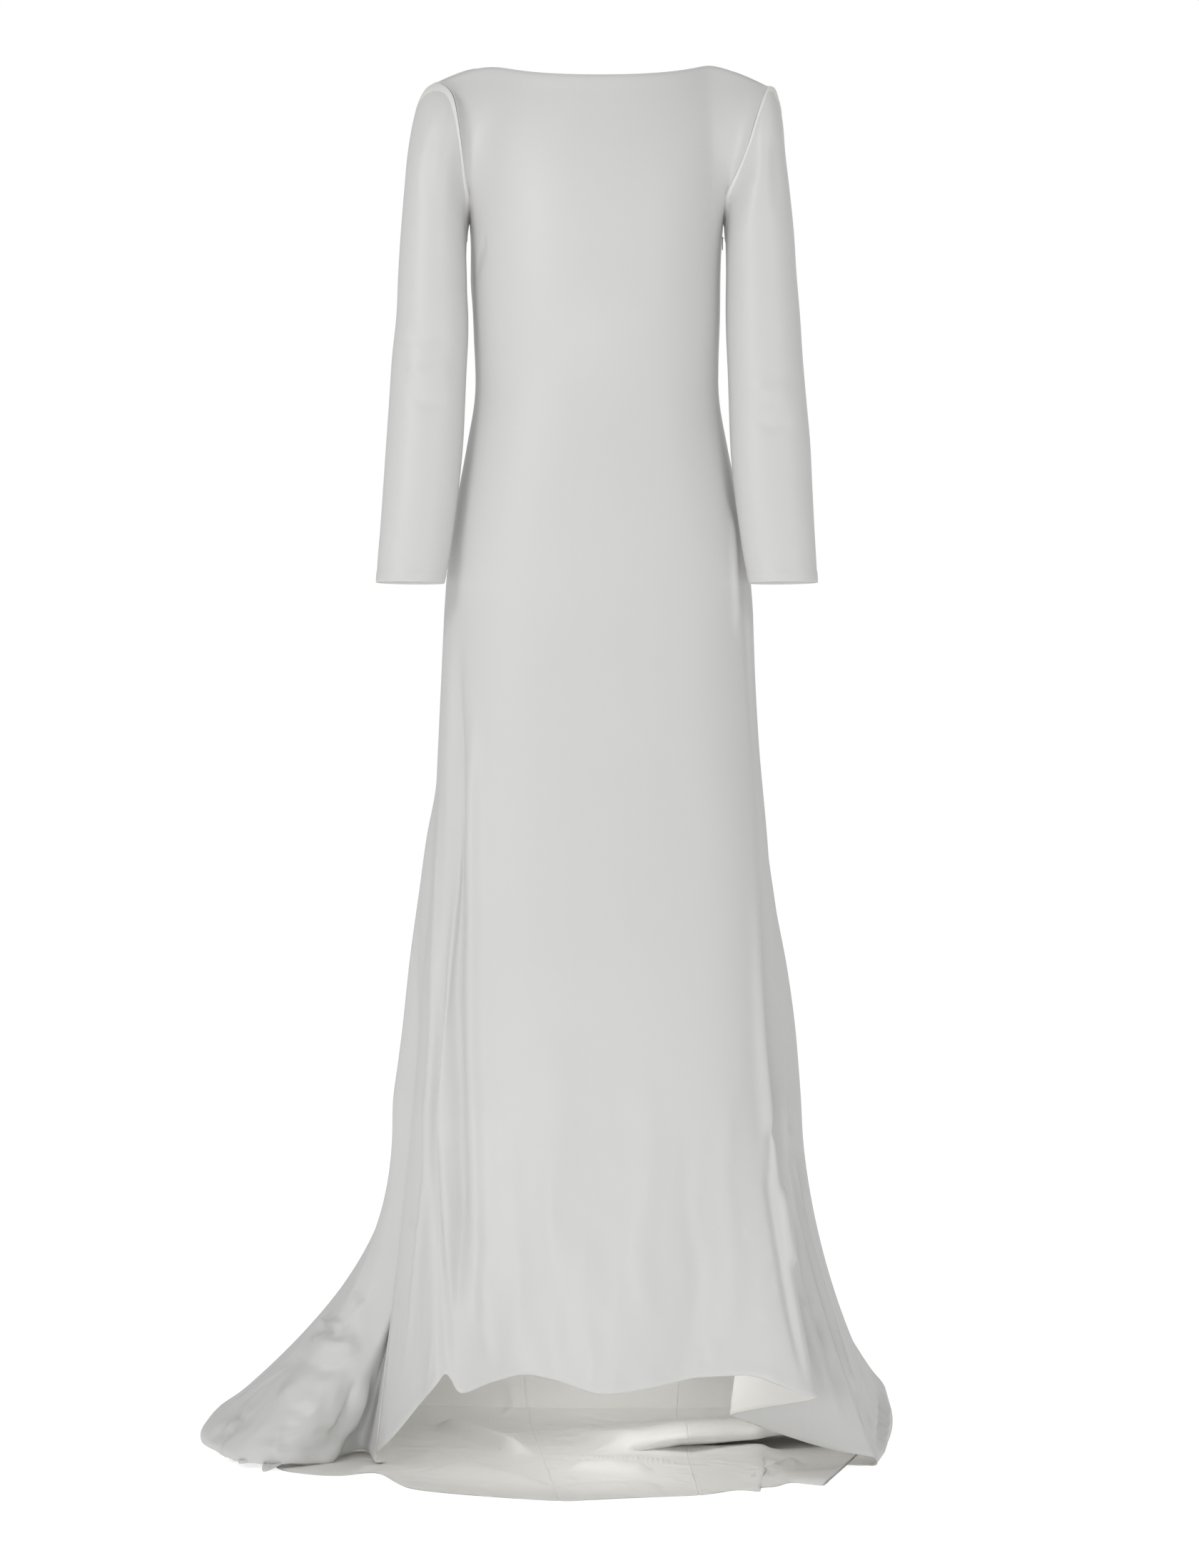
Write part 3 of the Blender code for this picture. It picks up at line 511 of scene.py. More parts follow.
# Columns of points round each cloth, and rows of the flare
FRONT_COLUMNS = (
    -1.0, -0.92, -0.84, -0.76, -0.69, -0.62, -0.585, -0.53, -0.44, -0.33, -0.21, -0.08, 0.05,
    0.18, 0.30, 0.41, 0.50, 0.565, 0.60, 0.625, 0.65, 0.695, 0.735, 0.76, 0.79, 0.85, 0.92, 1.0,
)
BACK_COLUMNS = (
    0.0, 0.03, 0.06, 0.09, 0.12, 0.15, 0.18, 0.21, 0.225, 0.245, 0.27, 0.295, 0.325, 0.344, 0.36,
    0.40, 0.44, 0.475, 0.50, 0.518, 0.535, 0.552, 0.57, 0.588, 0.605, 0.622, 0.64,
    0.67, 0.71, 0.755, 0.80, 0.835, 0.86, 0.885, 0.91, 0.94, 0.97, 1.0,
)
SHANK_STEPS = (0.12, 0.25, 0.38, 0.51, 0.63, 0.74, 0.84, 0.925, 1.0)


# %% Reading the tables and shaping the body
def column(rows, names, name):
    """Take one named column of a table as an array."""
    place = names.index(name)
    return np.array([float(row[place]) for row in rows])


def smooth(xs, ys, x):
    """Read a table at x along a smooth curve that keeps to its rows and never overshoots."""
    steps = np.diff(xs)
    slopes = np.diff(ys) / steps
    tangents = np.zeros(len(xs))
    tangents[0] = slopes[0]
    tangents[-1] = slopes[-1]
    for i in range(1, len(xs) - 1):
        if slopes[i - 1] * slopes[i] > 0.0:
            first = 2.0 * steps[i] + steps[i - 1]
            second = steps[i] + 2.0 * steps[i - 1]
            tangents[i] = (first + second) / (first / slopes[i - 1] + second / slopes[i])
    k = int(np.clip(np.searchsorted(xs, x, side="right") - 1, 0, len(steps) - 1))
    t = (x - xs[k]) / steps[k]
    t2 = t * t
    t3 = t2 * t
    value = (2 * t3 - 3 * t2 + 1) * ys[k] + (-2 * t3 + 3 * t2) * ys[k + 1]
    return value + ((t3 - 2 * t2 + t) * tangents[k] + (t3 - t2) * tangents[k + 1]) * steps[k]


@lru_cache(maxsize=None)
def section(name, z):
    """Read one size of the dress's section at a height."""
    heights = -column(SECTIONS, SECTION_NAMES, "z")
    return smooth(heights, column(SECTIONS, SECTION_NAMES, name), -z)


@lru_cache(maxsize=None)
def front_hem(name, share):
    """Read one column of the front's hem."""
    shares = column(FRONT_HEM, FRONT_HEM_NAMES, "share")
    return smooth(shares, column(FRONT_HEM, FRONT_HEM_NAMES, name), share)


@lru_cache(maxsize=None)
def back_foot(name, share):
    """Read one column of the back's foot."""
    shares = column(BACK_FOOT, BACK_FOOT_NAMES, "share")
    return smooth(shares, column(BACK_FOOT, BACK_FOOT_NAMES, name), share)


def ease(t):
    """Rise from 0 to 1 with soft ends."""
    t = min(max(t, 0.0), 1.0)
    return t * t * (3.0 - 2.0 * t)


def fold_depth(cloth, share, z):
    """Add up the long folds at one point of the skirt."""
    total = 0.0
    for row in FOLDS:
        fold = dict(zip(FOLD_NAMES, row))
        if fold["cloth"] != cloth or z > fold["top_z"]:
            continue
        down = (fold["top_z"] - z) / (fold["top_z"] - fold["low_z"])
        middle = fold["top_share"] + (fold["low_share"] - fold["top_share"]) * min(down, 1.0)
        off = (share - middle) / fold["width"]
        total += fold["depth"] * ease(down) * math.exp(-off * off)
    near_seam = 1.0 - abs(share) if cloth == "front" else 2.0 * min(share, 1.0 - share)
    return total * ease(near_seam / 0.05)


def front_section(share, z):
    """Find a point of the front at a height: share -1 is the left side seam and 1 the right."""
    side = "seam_l" if share < 0.0 else "seam_r"
    half = section(side, z)
    turn = share * math.pi / 2.0
    power = 2.0 / section("square", z)
    x = half * math.copysign(abs(math.sin(turn)) ** power, share)
    seam_y = section("seam_y", z)
    depth = section("front", z) + seam_y
    bulge = abs(math.cos(turn)) ** power
    y = seam_y - depth * bulge
    fold = fold_depth("front", share, z)
    return np.array([x + fold * math.sin(turn), y - fold * math.cos(turn), z])


def back_section(share, z):
    """Find a point of the back at a height: share 0 is the left side seam and 1 the right."""
    left = share < 0.5
    seam = section("seam_l" if left else "seam_r", z)
    widest = section("out_l" if left else "out_r", z)
    turn = share * math.pi
    power = 2.0 / DRESS_ROUND
    round_x = math.copysign(abs(math.cos(turn)) ** power, -math.cos(turn))
    near = min(share, 1.0 - share)
    spread = (widest - seam) * 1.25 * math.sin(min(near / 0.16, 1.0) * math.pi / 2.0) ** 1.3
    x = (seam + spread) * round_x
    seam_y = section("seam_y", z)
    y = seam_y + (section("back", z) - seam_y) * abs(math.sin(turn)) ** power
    fold = fold_depth("back", share, z)
    return np.array([x - fold * math.cos(turn), y + fold * math.sin(turn), z])


def armhole_point(side, step, front):
    """Find a point of an armhole's seam: step 0 is the shoulder and ARM_STEPS the underarm."""
    turn = step * math.pi / ARM_STEPS
    up = (1.0 + math.cos(turn)) / 2.0
    name = "left_x" if side < 0 else "right_x"
    x = smooth(column(ARMHOLE, ARMHOLE_NAMES, "up"), column(ARMHOLE, ARMHOLE_NAMES, name), up)
    top = ARM_TOP if side < 0 else ARM_TOP - RIGHT_ARM_LOWER
    z = ARM_LOW + (top - ARM_LOW) * up
    middle = ARM_MIDDLE + (section("seam_y", ARM_LOW) - ARM_MIDDLE) * (1.0 - up)
    reach = ARM_FORWARD if front else ARM_BACKWARD
    y = middle + reach * math.sin(turn) ** 0.9
    return np.array([side * x, y, z])


def shoulder_point(side, t):
    """Find a point of the shoulder seam from the neck (0) to the armhole (1)."""
    end = armhole_point(side, 0, True)
    neck = np.array([side * NECK_HALF, TOP_DEPTH, 0.0])
    return neck + (end - neck) * t + np.array([0.0, 0.0, SHOULDER_ARCH * math.sin(t * math.pi)])


def front_top(share):
    """Find the front's top edge: shoulder seam, neckline, shoulder seam."""
    side = -1 if share < 0.0 else 1
    size = abs(share)
    if size > NECK_SHARE:
        return shoulder_point(side, (size - NECK_SHARE) / (1.0 - NECK_SHARE))
    t = size / NECK_SHARE
    y = TOP_DEPTH - NECK_FORWARD * (1.0 - t ** 2.4)
    z = -NECK_DROP * (1.0 - t ** 2.6)
    return np.array([side * NECK_HALF * t, y, z])


def back_top(share):
    """Find the back's top edge: shoulder seam, scooped neckline, shoulder seam."""
    side = -1 if share < 0.5 else 1
    near = min(share, 1.0 - share)
    if near < SCOOP_SHARE:
        return shoulder_point(side, 1.0 - near / SCOOP_SHARE)
    t = (0.5 - near) / (0.5 - SCOOP_SHARE)
    x = NECK_HALF * t ** 0.95
    z = -SCOOP_DEPTH * (1.0 - t ** 1.8)
    y = TOP_DEPTH + SCOOP_BACKWARD * (1.0 - t ** 2.8)
    return np.array([side * x, y, z])


def yoke_point(share, step, front):
    """Find a point between the top edge and the underarm, on the front or the back."""
    if step == ARM_STEPS:
        return front_section(share, ARM_LOW) if front else back_section(share, ARM_LOW)
    down = (1.0 - math.cos(step * math.pi / ARM_STEPS)) / 2.0
    if front:
        edge_share = abs(share)
        side = -1 if share < 0.0 else 1
        top = front_top(share)
        low = front_section(share, ARM_LOW)
        end_top = front_top(float(side))
        end_low = front_section(float(side), ARM_LOW)
    else:
        edge_share = 1.0 - 2.0 * min(share, 1.0 - share)
        side = -1 if share < 0.5 else 1
        end = 0.0 if side < 0 else 1.0
        top = back_top(share)
        low = back_section(share, ARM_LOW)
        end_top = back_top(end)
        end_low = back_section(end, ARM_LOW)
    lean = 0.78 - 0.2 * edge_share ** 2

    def between(first, last):
        """Lean from the top edge to the underarm, with the depth gained early."""
        point = first + (last - first) * down
        point[1] = first[1] + (last[1] - first[1]) * down ** lean
        return point

    pull = edge_share ** (3.0 if front else 4.0)
    seam = armhole_point(side, step, front)
    return between(top, low) + (seam - between(end_top, end_low)) * pull


def shank_point(share, step, front):
    """Find a point between the calf and the hem or rim."""
    w = SHANK_STEPS[step]
    read = front_hem if front else back_foot
    start = front_section(share, CALF) if front else back_section(share, CALF)
    end = np.array([read("x", share), read("y", share), FLOOR + read("high", share)])
    spread = w ** read("late", share)
    point = start + (end - start) * spread
    point[2] = CALF + (end[2] - CALF) * w
    return point


def train_points(share):
    """Find the points of the back from its rim, under it and over the floor to the hem."""
    rim = np.array([back_foot("x", share), back_foot("y", share)])
    hem = np.array([back_foot("hem_x", share), back_foot("hem_y", share)])
    high = back_foot("high", share)
    low = back_foot("hem_high", share)
    fold = back_foot("fold", share)
    way = hem - rim
    length = float(np.linalg.norm(way))
    out = -way / length
    middle = (high + low) / 2.0
    points = [np.append(rim + out * 3.0, FLOOR + middle)]
    points.append(np.append(rim + out * 0.0, FLOOR + low))
    for row in TRAIN_RUN:
        run = dict(zip(TRAIN_RUN_NAMES, row))
        if fold < 0.5:
            along = run["flat"] + (run["step"] - run["flat"]) * fold * 2.0
            lift = (run["step_high"] - 1.0) * fold * 2.0
        else:
            along = run["step"] + (run["fold"] - run["step"]) * (fold * 2.0 - 1.0)
            rise = run["fold_high"] - run["step_high"]
            lift = run["step_high"] - 1.0 + rise * (fold * 2.0 - 1.0)
        points.append(np.append(rim + way * along, FLOOR + low + lift))
    return points


def sleeve_ring(side, outside, inside, out_z, in_z, middle, half):
    """Find one ring of a sleeve, leaning from its outer edge down to its inner one."""
    ring = []
    for k in range(2 * ARM_FINE):
        turn = k * math.pi / ARM_FINE
        up = math.cos(turn)
        x = (outside + inside) / 2.0 + (outside - inside) / 2.0 * up
        z = (out_z + in_z) / 2.0 + (out_z - in_z) / 2.0 * up
        ring.append((side * x, middle - half * math.sin(turn), z))
    return np.array(ring)


# %% [markdown]
# From rows to cloth
#
# The tables give rows about 60 mm apart. Cloth needs points every few millimetres, or its creases
# would be facets. The rows between are read from a smooth curve down each column, and the armhole
# rows are worked out directly, so that a panel and a sleeve meet in the same points.

# %% Dense grids
ARM_FINE = 27
ROW_SPACING = 7.0
TRAIN_ROWS = 72
LEAST_HIGH = 0.8
FRONT_DENSE = 187
LEFT_COLUMNS = 158
MIDDLE_COLUMNS = 81
RIGHT_COLUMNS = 120
ROW_CROWDING = 0.72
YOKE_IRONING = 120

# Ruffles of the train's hem: share of the way round the back, width as a share, how far the hem
# runs out, and how high the ruffle stands.
RUFFLE_NAMES = ("share", "width", "out_x", "out_y", "high")
RUFFLES = (
    (0.106, 0.0085, -8, -78, 6),
    (0.136, 0.0075, -12, -34, 5),
    (0.160, 0.0050, -10, -22, 4),
    (0.680, 0.0060, 12, -26, 5),
    (0.765, 0.0090, 38, -46, 7),
    (0.792, 0.0060, 30, -30, 5),
)


def dense_shares(coarse, count):
    """Put more columns between the given ones, closest where those are close."""
    places = np.linspace(0.0, len(coarse) - 1.0, count)
    return [float(share) for share in np.interp(places, np.arange(len(coarse)), coarse)]


def back_columns():
    """Choose the back's columns, panel by panel, with shared ones at the two seams."""
    left, right = (BACK_COLUMNS.index(seam) for seam in BACK_SEAMS)
    shares = dense_shares(BACK_COLUMNS[:left + 1], LEFT_COLUMNS)
    shares += dense_shares(BACK_COLUMNS[left:right + 1], MIDDLE_COLUMNS)[1:]
    return shares + dense_shares(BACK_COLUMNS[right:], RIGHT_COLUMNS)[1:]


def between_rows(grid, places):
    """Read rows at fractions between a grid's rows, along a smooth curve down each column."""
    steps = np.diff(grid, axis=0)
    lengths = np.maximum(np.linalg.norm(steps, axis=2, keepdims=True), 1e-6)
    slopes = steps / lengths
    ways = np.empty_like(grid)
    ways[0] = slopes[0]
    ways[-1] = slopes[-1]
    total = lengths[1:] + lengths[:-1]
    ways[1:-1] = (slopes[:-1] * lengths[1:] + slopes[1:] * lengths[:-1]) / total
    rows = []
    for place in places:
        k = min(int(place), len(grid) - 2)
        t = place - k
        t2, t3 = t * t, t * t * t
        row = (2 * t3 - 3 * t2 + 1) * grid[k] + (3 * t2 - 2 * t3) * grid[k + 1]
        row = row + ((t3 - 2 * t2 + t) * ways[k] + (t3 - t2) * ways[k + 1]) * lengths[k]
        rows.append(row)
    return np.array(rows)


def even_places(grid, first, last, count, crowding=1.0):
    """Choose row fractions evenly spaced in millimetres; crowding under 1 packs the low ones."""
    lengths = np.linalg.norm(np.diff(grid[first:last + 1], axis=0), axis=2).mean(axis=1)
    run = np.concatenate([[0.0], np.cumsum(lengths)])
    wanted = run[-1] * np.linspace(0.0, 1.0, count + 1) ** crowding
    return np.interp(wanted, run, np.arange(first, last + 1))


def coarse_grid(front, shares):
    """Build the rows of the tables for these columns: yoke, body, flare and train."""
    pick = front_section if front else back_section
    rows = [[yoke_point(share, step, front) for share in shares] for step in range(ARM_STEPS + 1)]
    rows[0] = [front_top(share) if front else back_top(share) for share in shares]
    heights = []
    for first, second in zip(SECTIONS[:-1], SECTIONS[1:]):
        heights += [(first[0] + second[0]) / 2.0, float(second[0])]
    for z in heights:
        rows.append([pick(share, z) for share in shares])
    for step in range(len(SHANK_STEPS)):
        rows.append([shank_point(share, step, front) for share in shares])
    train_from = len(rows) - 1
    if not front:
        trains = [train_points(share) for share in shares]
        for k in range(len(trains[0])):
            rows.append([train[k] for train in trains])
    return np.array(rows), train_from


def cloth_points(front, shares, body_places=None):
    """Build all the points of the front or the back, every few millimetres."""
    coarse, train_from = coarse_grid(front, shares)
    yoke = []
    for step in range(ARM_FINE + 1):
        part = step * ARM_STEPS / ARM_FINE
        yoke.append([yoke_point(share, part, front) for share in shares])
    yoke[0] = [front_top(share) if front else back_top(share) for share in shares]
    if body_places is None:
        lengths = np.linalg.norm(np.diff(coarse[ARM_STEPS:], axis=0), axis=2).mean(axis=1)
        count = int(lengths.sum() / ROW_SPACING)
        body_places = even_places(coarse, ARM_STEPS, train_from, count, ROW_CROWDING)[1:]
    body = between_rows(coarse, body_places)
    parts = [np.array(yoke), body]
    if not front:
        last = len(coarse) - 1
        train_places = even_places(coarse, train_from, last, TRAIN_ROWS)[1:]
        parts.append(between_rows(coarse, train_places))
    points = np.concatenate(parts)
    points[..., 2] = np.maximum(points[..., 2], FLOOR + LEAST_HIGH)
    return points, body_places


def soften(grid, times, ring=False):
    """Even out a grid's inner points a little, as cloth won't hold a sharp bend."""
    for _ in range(times):
        calm = grid.copy()
        calm[1:-1] = (grid[:-2] + grid[2:] + 2.0 * grid[1:-1]) / 4.0
        if ring:
            calm = (np.roll(calm, 1, axis=1) + np.roll(calm, -1, axis=1) + 2.0 * calm) / 4.0
        else:
            inner = (calm[:, :-2] + calm[:, 2:] + 2.0 * calm[:, 1:-1]) / 4.0
            calm[:, 1:-1] = inner
            calm[:, 0] = grid[:, 0]
            calm[:, -1] = grid[:, -1]
        grid = calm
    return grid


def iron_yoke(grid):
    """Even out the yoke, where the neckline's corner would leave a line down the cloth."""
    calm = soften(grid[:2 * ARM_FINE], YOKE_IRONING)
    keep = [ease((ARM_FINE + 16.0 - row) / 16.0) for row in range(2 * ARM_FINE)]
    keep = np.array(keep)[:, None, None]
    grid = grid.copy()
    grid[:2 * ARM_FINE] += (calm - grid[:2 * ARM_FINE]) * keep
    return grid


def spill_ruffles(grid, shares, first_row):
    """Let a few small ruffles of the train's hem run out on the floor from under the rim."""
    rows = np.clip((np.arange(len(grid)) - first_row) / (len(grid) - 1.0 - first_row), 0.0, 1.0)
    rise = (rows * rows * (3.0 - 2.0 * rows))[:, None]
    shares = np.array(shares)
    for row in RUFFLES:
        ruffle = dict(zip(RUFFLE_NAMES, row))
        across = np.exp(-((shares - ruffle["share"]) / ruffle["width"]) ** 2)[None, :] * rise
        grid[..., 0] += across * ruffle["out_x"]
        grid[..., 1] += across * ruffle["out_y"]
        arch = np.sin(rows * math.pi)[:, None] * across
        grid[..., 2] += arch * ruffle["high"]
    return grid


FRONT_SHARES = dense_shares(FRONT_COLUMNS, FRONT_DENSE)
BACK_SHARES = back_columns()
front_points, body_places = cloth_points(True, FRONT_SHARES)
back_points, _ = cloth_points(False, BACK_SHARES, body_places)
front_points = iron_yoke(front_points)
back_points = iron_yoke(back_points)
shared_rows = len(front_points)
back_points = spill_ruffles(back_points, BACK_SHARES, shared_rows + 2)
back_points[:shared_rows, 0] = front_points[:, 0]
back_points[:shared_rows, -1] = front_points[:, -1]
print("front grid", front_points.shape[:2], "back grid", back_points.shape[:2])


# %% [markdown]
# Sleeves
#
# Each sleeve is one tube, set into the armhole. Its first ring is the armhole seam itself. Lower
# rings lean less and less, down to the plain cuff, and keep a share of the armhole's own shape
# over the first stretch, as a sleeve head does.

# %% Sleeve grids
SLEEVE_ROWS = 190
SLEEVE_HEAD_HALF = 51.0
HEAD_STARTS = 15.0
HEAD_LENGTH = 110.0


def sleeve_points(side):
    """Build a sleeve's points from the armhole seam down to the cuff."""
    edge = 0 if side < 0 else -1
    first = [front_points[k, edge] for k in range(ARM_FINE + 1)]
    first += [back_points_armhole(side, k) for k in range(ARM_FINE - 1, 0, -1)]
    rings = [np.array(first)]
    out_name, in_name = ("out_l", "in_l") if side < 0 else ("out_r", "in_r")
    top, low = rings[0][0], rings[0][ARM_FINE]
    plain = sleeve_ring(side, abs(top[0]), abs(low[0]), top[2], low[2], ARM_MIDDLE, SLEEVE_HEAD_HALF)
    own_shape = rings[0] - plain
    for row in SLEEVES:
        size = dict(zip(SLEEVE_NAMES, row))
        ring = sleeve_ring(side, size[out_name], size[in_name], size["out_z"], size["in_z"],
                           size["y"], size["half"])
        keep = 1.0 - ease((-size["out_z"] - HEAD_STARTS) / HEAD_LENGTH)
        rings.append(ring + own_shape * keep)
    coarse = np.array(rings)
    grid = between_rows(coarse, even_places(coarse, 0, len(coarse) - 1, SLEEVE_ROWS))
    return grid if side < 0 else grid[:, ::-1]


def back_points_armhole(side, k):
    """Take a point of the back's armhole edge."""
    return back_points[k, 0 if side < 0 else -1]


left_sleeve = soften(sleeve_points(-1), 2, ring=True)
right_sleeve = soften(sleeve_points(1), 2, ring=True)
print("sleeve grids", left_sleeve.shape[:2], right_sleeve.shape[:2])

# %% [markdown]
# Creases
#
# Cloth that hangs keeps a few long soft folds and many faint short creases. A simulation of so
# smooth a gown would lose the shown ones, so each is placed: a path drawn on the picture,
# a width, and a depth that fades at both ends. A line of sight through each point of the path
# finds its place on the cloth. A minus depth is a trough, a plus a ridge. Where the train turns
# under, its outer side faces the floor, so there a minus lifts the cloth. Creases fade out at a
# seam, so that neighbours stay joined. Those of the back that run across its seams are pressed
# before it is cut into panels.

# %% Pressing creases into a grid
CREASE_FADE = 0.22
PIN_WIDTH = 9.0

# How many times deeper than drawn each panel's creases are pressed, and their least width.
FRONT_PRESS = (1.6, 4.0)
LEFT_PRESS = (1.8, 5.5)
RIGHT_PRESS = (1.7, 5.5)
MIDDLE_PRESS = (1.2, 4.0)
PLAIN_PRESS = (1.0, 3.0)

# Creases where the train turns under, placed in millimetres, with width and depth.
FLOOR_CREASES = (
    (((-420, 320, -1640), (-306, 336, -1640), (-168, 333, -1640), (-92, 324, -1640),
      (0, 316, -1640), (96, 320, -1640), (196, 336, -1640), (300, 356, -1632),
      (364, 330, -1620)), 34.0, -20.0),
    (((-10, 62, -1643), (60, 66, -1643), (110, 66, -1643), (160, 66, -1643),
      (235, 60, -1643)), 20.0, -9.0),
)

# Creases drawn on the picture: the side it is looked at from (behind is a mirror place of the
# camera, for hidden creases), width and depth in millimetres, and the path in picture pixels.
FRONT_DRAWN = (
    ("front", 12.0, -8.6, ((642, 860), (639, 960), (638, 1060), (637, 1200), (637, 1300), (634, 1400),
     (640, 1560), (645, 1690), (641, 1780), (630, 1860), (621, 1918))),
    ("front", 9.0, 4.4, ((662, 960), (661, 1080), (661, 1200), (661, 1330), (660, 1450), (662, 1560),
     (663, 1700), (660, 1800), (652, 1880))),
    ("front", 3.0, -1.2, ((648, 1640), (647, 1700), (643, 1790), (637, 1850))),
    ("front", 4.0, 1.2, ((668, 1700), (671, 1760), (668, 1830), (671, 1860))),
    ("front", 5.0, -1.2, ((676, 1740), (672, 1800), (680, 1880), (690, 1930))),
    ("front", 7.0, 2.4, ((618, 1060), (612, 1250), (606, 1450), (596, 1650), (575, 1850),
     (560, 1950))),
    ("front", 2.2, 0.9, ((571, 1716), (580, 1724), (590, 1722))),
    ("front", 2.5, 0.8, ((622, 1776), (631, 1766), (640, 1752))),
    ("front", 9.0, -1.3, ((720, 1500), (716, 1640), (730, 1780), (722, 1900))),
    ("front", 12.0, 1.5, ((775, 1420), (782, 1560), (770, 1700), (790, 1860))),
    ("front", 8.0, -1.2, ((842, 1560), (850, 1700), (838, 1830), (850, 1940))),
    ("front", 10.0, 1.3, ((905, 1480), (915, 1620), (900, 1760), (918, 1890))),
    ("front", 9.0, -1.1, ((968, 1540), (960, 1680), (978, 1800), (960, 1920))),
    ("front", 11.0, 1.2, ((1022, 1500), (1015, 1640), (1030, 1780), (1018, 1900))),
    ("front", 2.2, 1.2, ((933, 1938), (941, 1915), (952, 1898))),
    ("front", 2.2, 1.0, ((910, 1943), (914, 1928), (921, 1915))),
    ("front", 3.0, 1.2, ((999, 1905), (1001, 1880))),
    ("front", 3.0, 1.0, ((1040, 1730), (1060, 1716), (1080, 1706))),
    ("front", 4.0, 1.1, ((1060, 1800), (1075, 1775), (1092, 1752))),
    ("front", 5.0, 1.1, ((1062, 1850), (1085, 1822), (1100, 1800))),
    ("front", 5.5, -3.6, ((1083, 1480), (1080, 1600), (1078, 1660), (1090, 1740), (1103, 1820),
     (1118, 1890), (1133, 1955))),
    ("front", 6.5, 4.2, ((1088, 1600), (1095, 1680), (1108, 1760), (1122, 1830), (1140, 1890),
     (1160, 1950), (1185, 2010))),
    ("front", 4.0, -3.2, ((1096, 1560), (1104, 1640), (1115, 1720), (1130, 1800), (1146, 1850),
     (1165, 1910), (1185, 1960), (1203, 2020))),
    ("front", 2.0, -1.6, ((1141, 1832), (1152, 1870), (1164, 1905), (1175, 1945), (1186, 1995))),
    ("front", 1.6, 1.2, ((1150, 1868), (1158, 1892), (1163, 1918))),
    ("front", 3.0, 1.0, ((1083, 1595), (1078, 1602), (1076, 1650))),
    ("front", 3.0, 1.2, ((1087, 1500), (1095, 1560), (1100, 1620), (1112, 1700))),
    ("front", 4.0, -1.6, ((681, 330), (678, 345), (671, 370), (667, 392))),
    ("front", 4.0, 0.5, ((997, 284), (1002, 298), (1006, 314))),
    ("front", 8.0, -2.3, ((1010, 640), (1030, 720), (1040, 800), (1046, 880), (1052, 980),
     (1056, 1080))),
    ("front", 7.0, 2.2, ((1024, 700), (1030, 800), (1034, 900))),
    ("front", 3.0, -0.8, ((1034, 700), (1042, 780), (1048, 870), (1052, 960))),
)
BACK_DRAWN = (
    ("behind", 14.0, 5.5, ((770, 1000), (745, 1250), (715, 1500), (675, 1750), (640, 1960))),
    ("behind", 12.0, -4.5, ((800, 900), (785, 1150), (770, 1450), (745, 1750), (730, 1970))),
    ("behind", 15.0, 5.5, ((845, 1100), (850, 1350), (848, 1600), (855, 1850), (850, 1980))),
    ("behind", 12.0, -4.5, ((905, 950), (915, 1200), (930, 1450), (960, 1700), (1000, 1950))),
    ("behind", 14.0, 5.0, ((950, 1050), (975, 1300), (1010, 1550), (1070, 1780), (1140, 1960))),
    ("behind", 12.0, -4.5, ((990, 1300), (1050, 1550), (1130, 1760), (1220, 1930))),
    ("behind", 9.0, 3.5, ((700, 1300), (670, 1550), (620, 1780), (570, 1940))),
    ("behind", 8.0, -1.8, ((750, 556), (790, 572), (840, 570))),
    ("behind", 8.0, -1.6, ((870, 604), (920, 594), (960, 574))),
    ("behind", 8.0, 1.5, ((770, 640), (820, 652), (880, 646))),
)
RIGHT_DRAWN = (
    ("front", 5.0, -3.4, ((1112, 1560), (1120, 1640), (1133, 1720), (1152, 1790), (1180, 1880),
     (1203, 1960))),
    ("front", 6.0, 3.4, ((1108, 1620), (1122, 1700), (1143, 1780), (1165, 1850), (1188, 1930),
     (1205, 1990))),
    ("front", 2.4, 1.2, ((1100, 1588), (1110, 1591), (1119, 1597))),
    ("front", 3.0, -3.0, ((1226, 1940), (1234, 1965), (1234, 2000), (1224, 2026))),
    ("front", 4.0, 3.0, ((1238, 1950), (1243, 1985), (1238, 2020), (1230, 2045))),
    ("front", 2.4, -1.8, ((1214, 2012), (1222, 2030), (1230, 2046))),
    ("front", 6.0, -2.5, ((1040, 2046), (1080, 2050), (1115, 2062))),
    ("front", 8.0, -6.0, ((1050, 2076), (1085, 2062), (1130, 2052))),
)
MIDDLE_DRAWN = (
    ("front", 13.0, -9.0, ((784, 2057), (850, 2060), (920, 2062))),
    ("front", 4.0, -4.5, ((780, 2043), (847, 2047), (895, 2047), (960, 2052))),
    ("front", 22.0, -5.0, ((790, 2088), (860, 2086), (930, 2084))),
    ("front", 16.0, -6.0, ((790, 2004), (850, 2014), (900, 2026))),
)
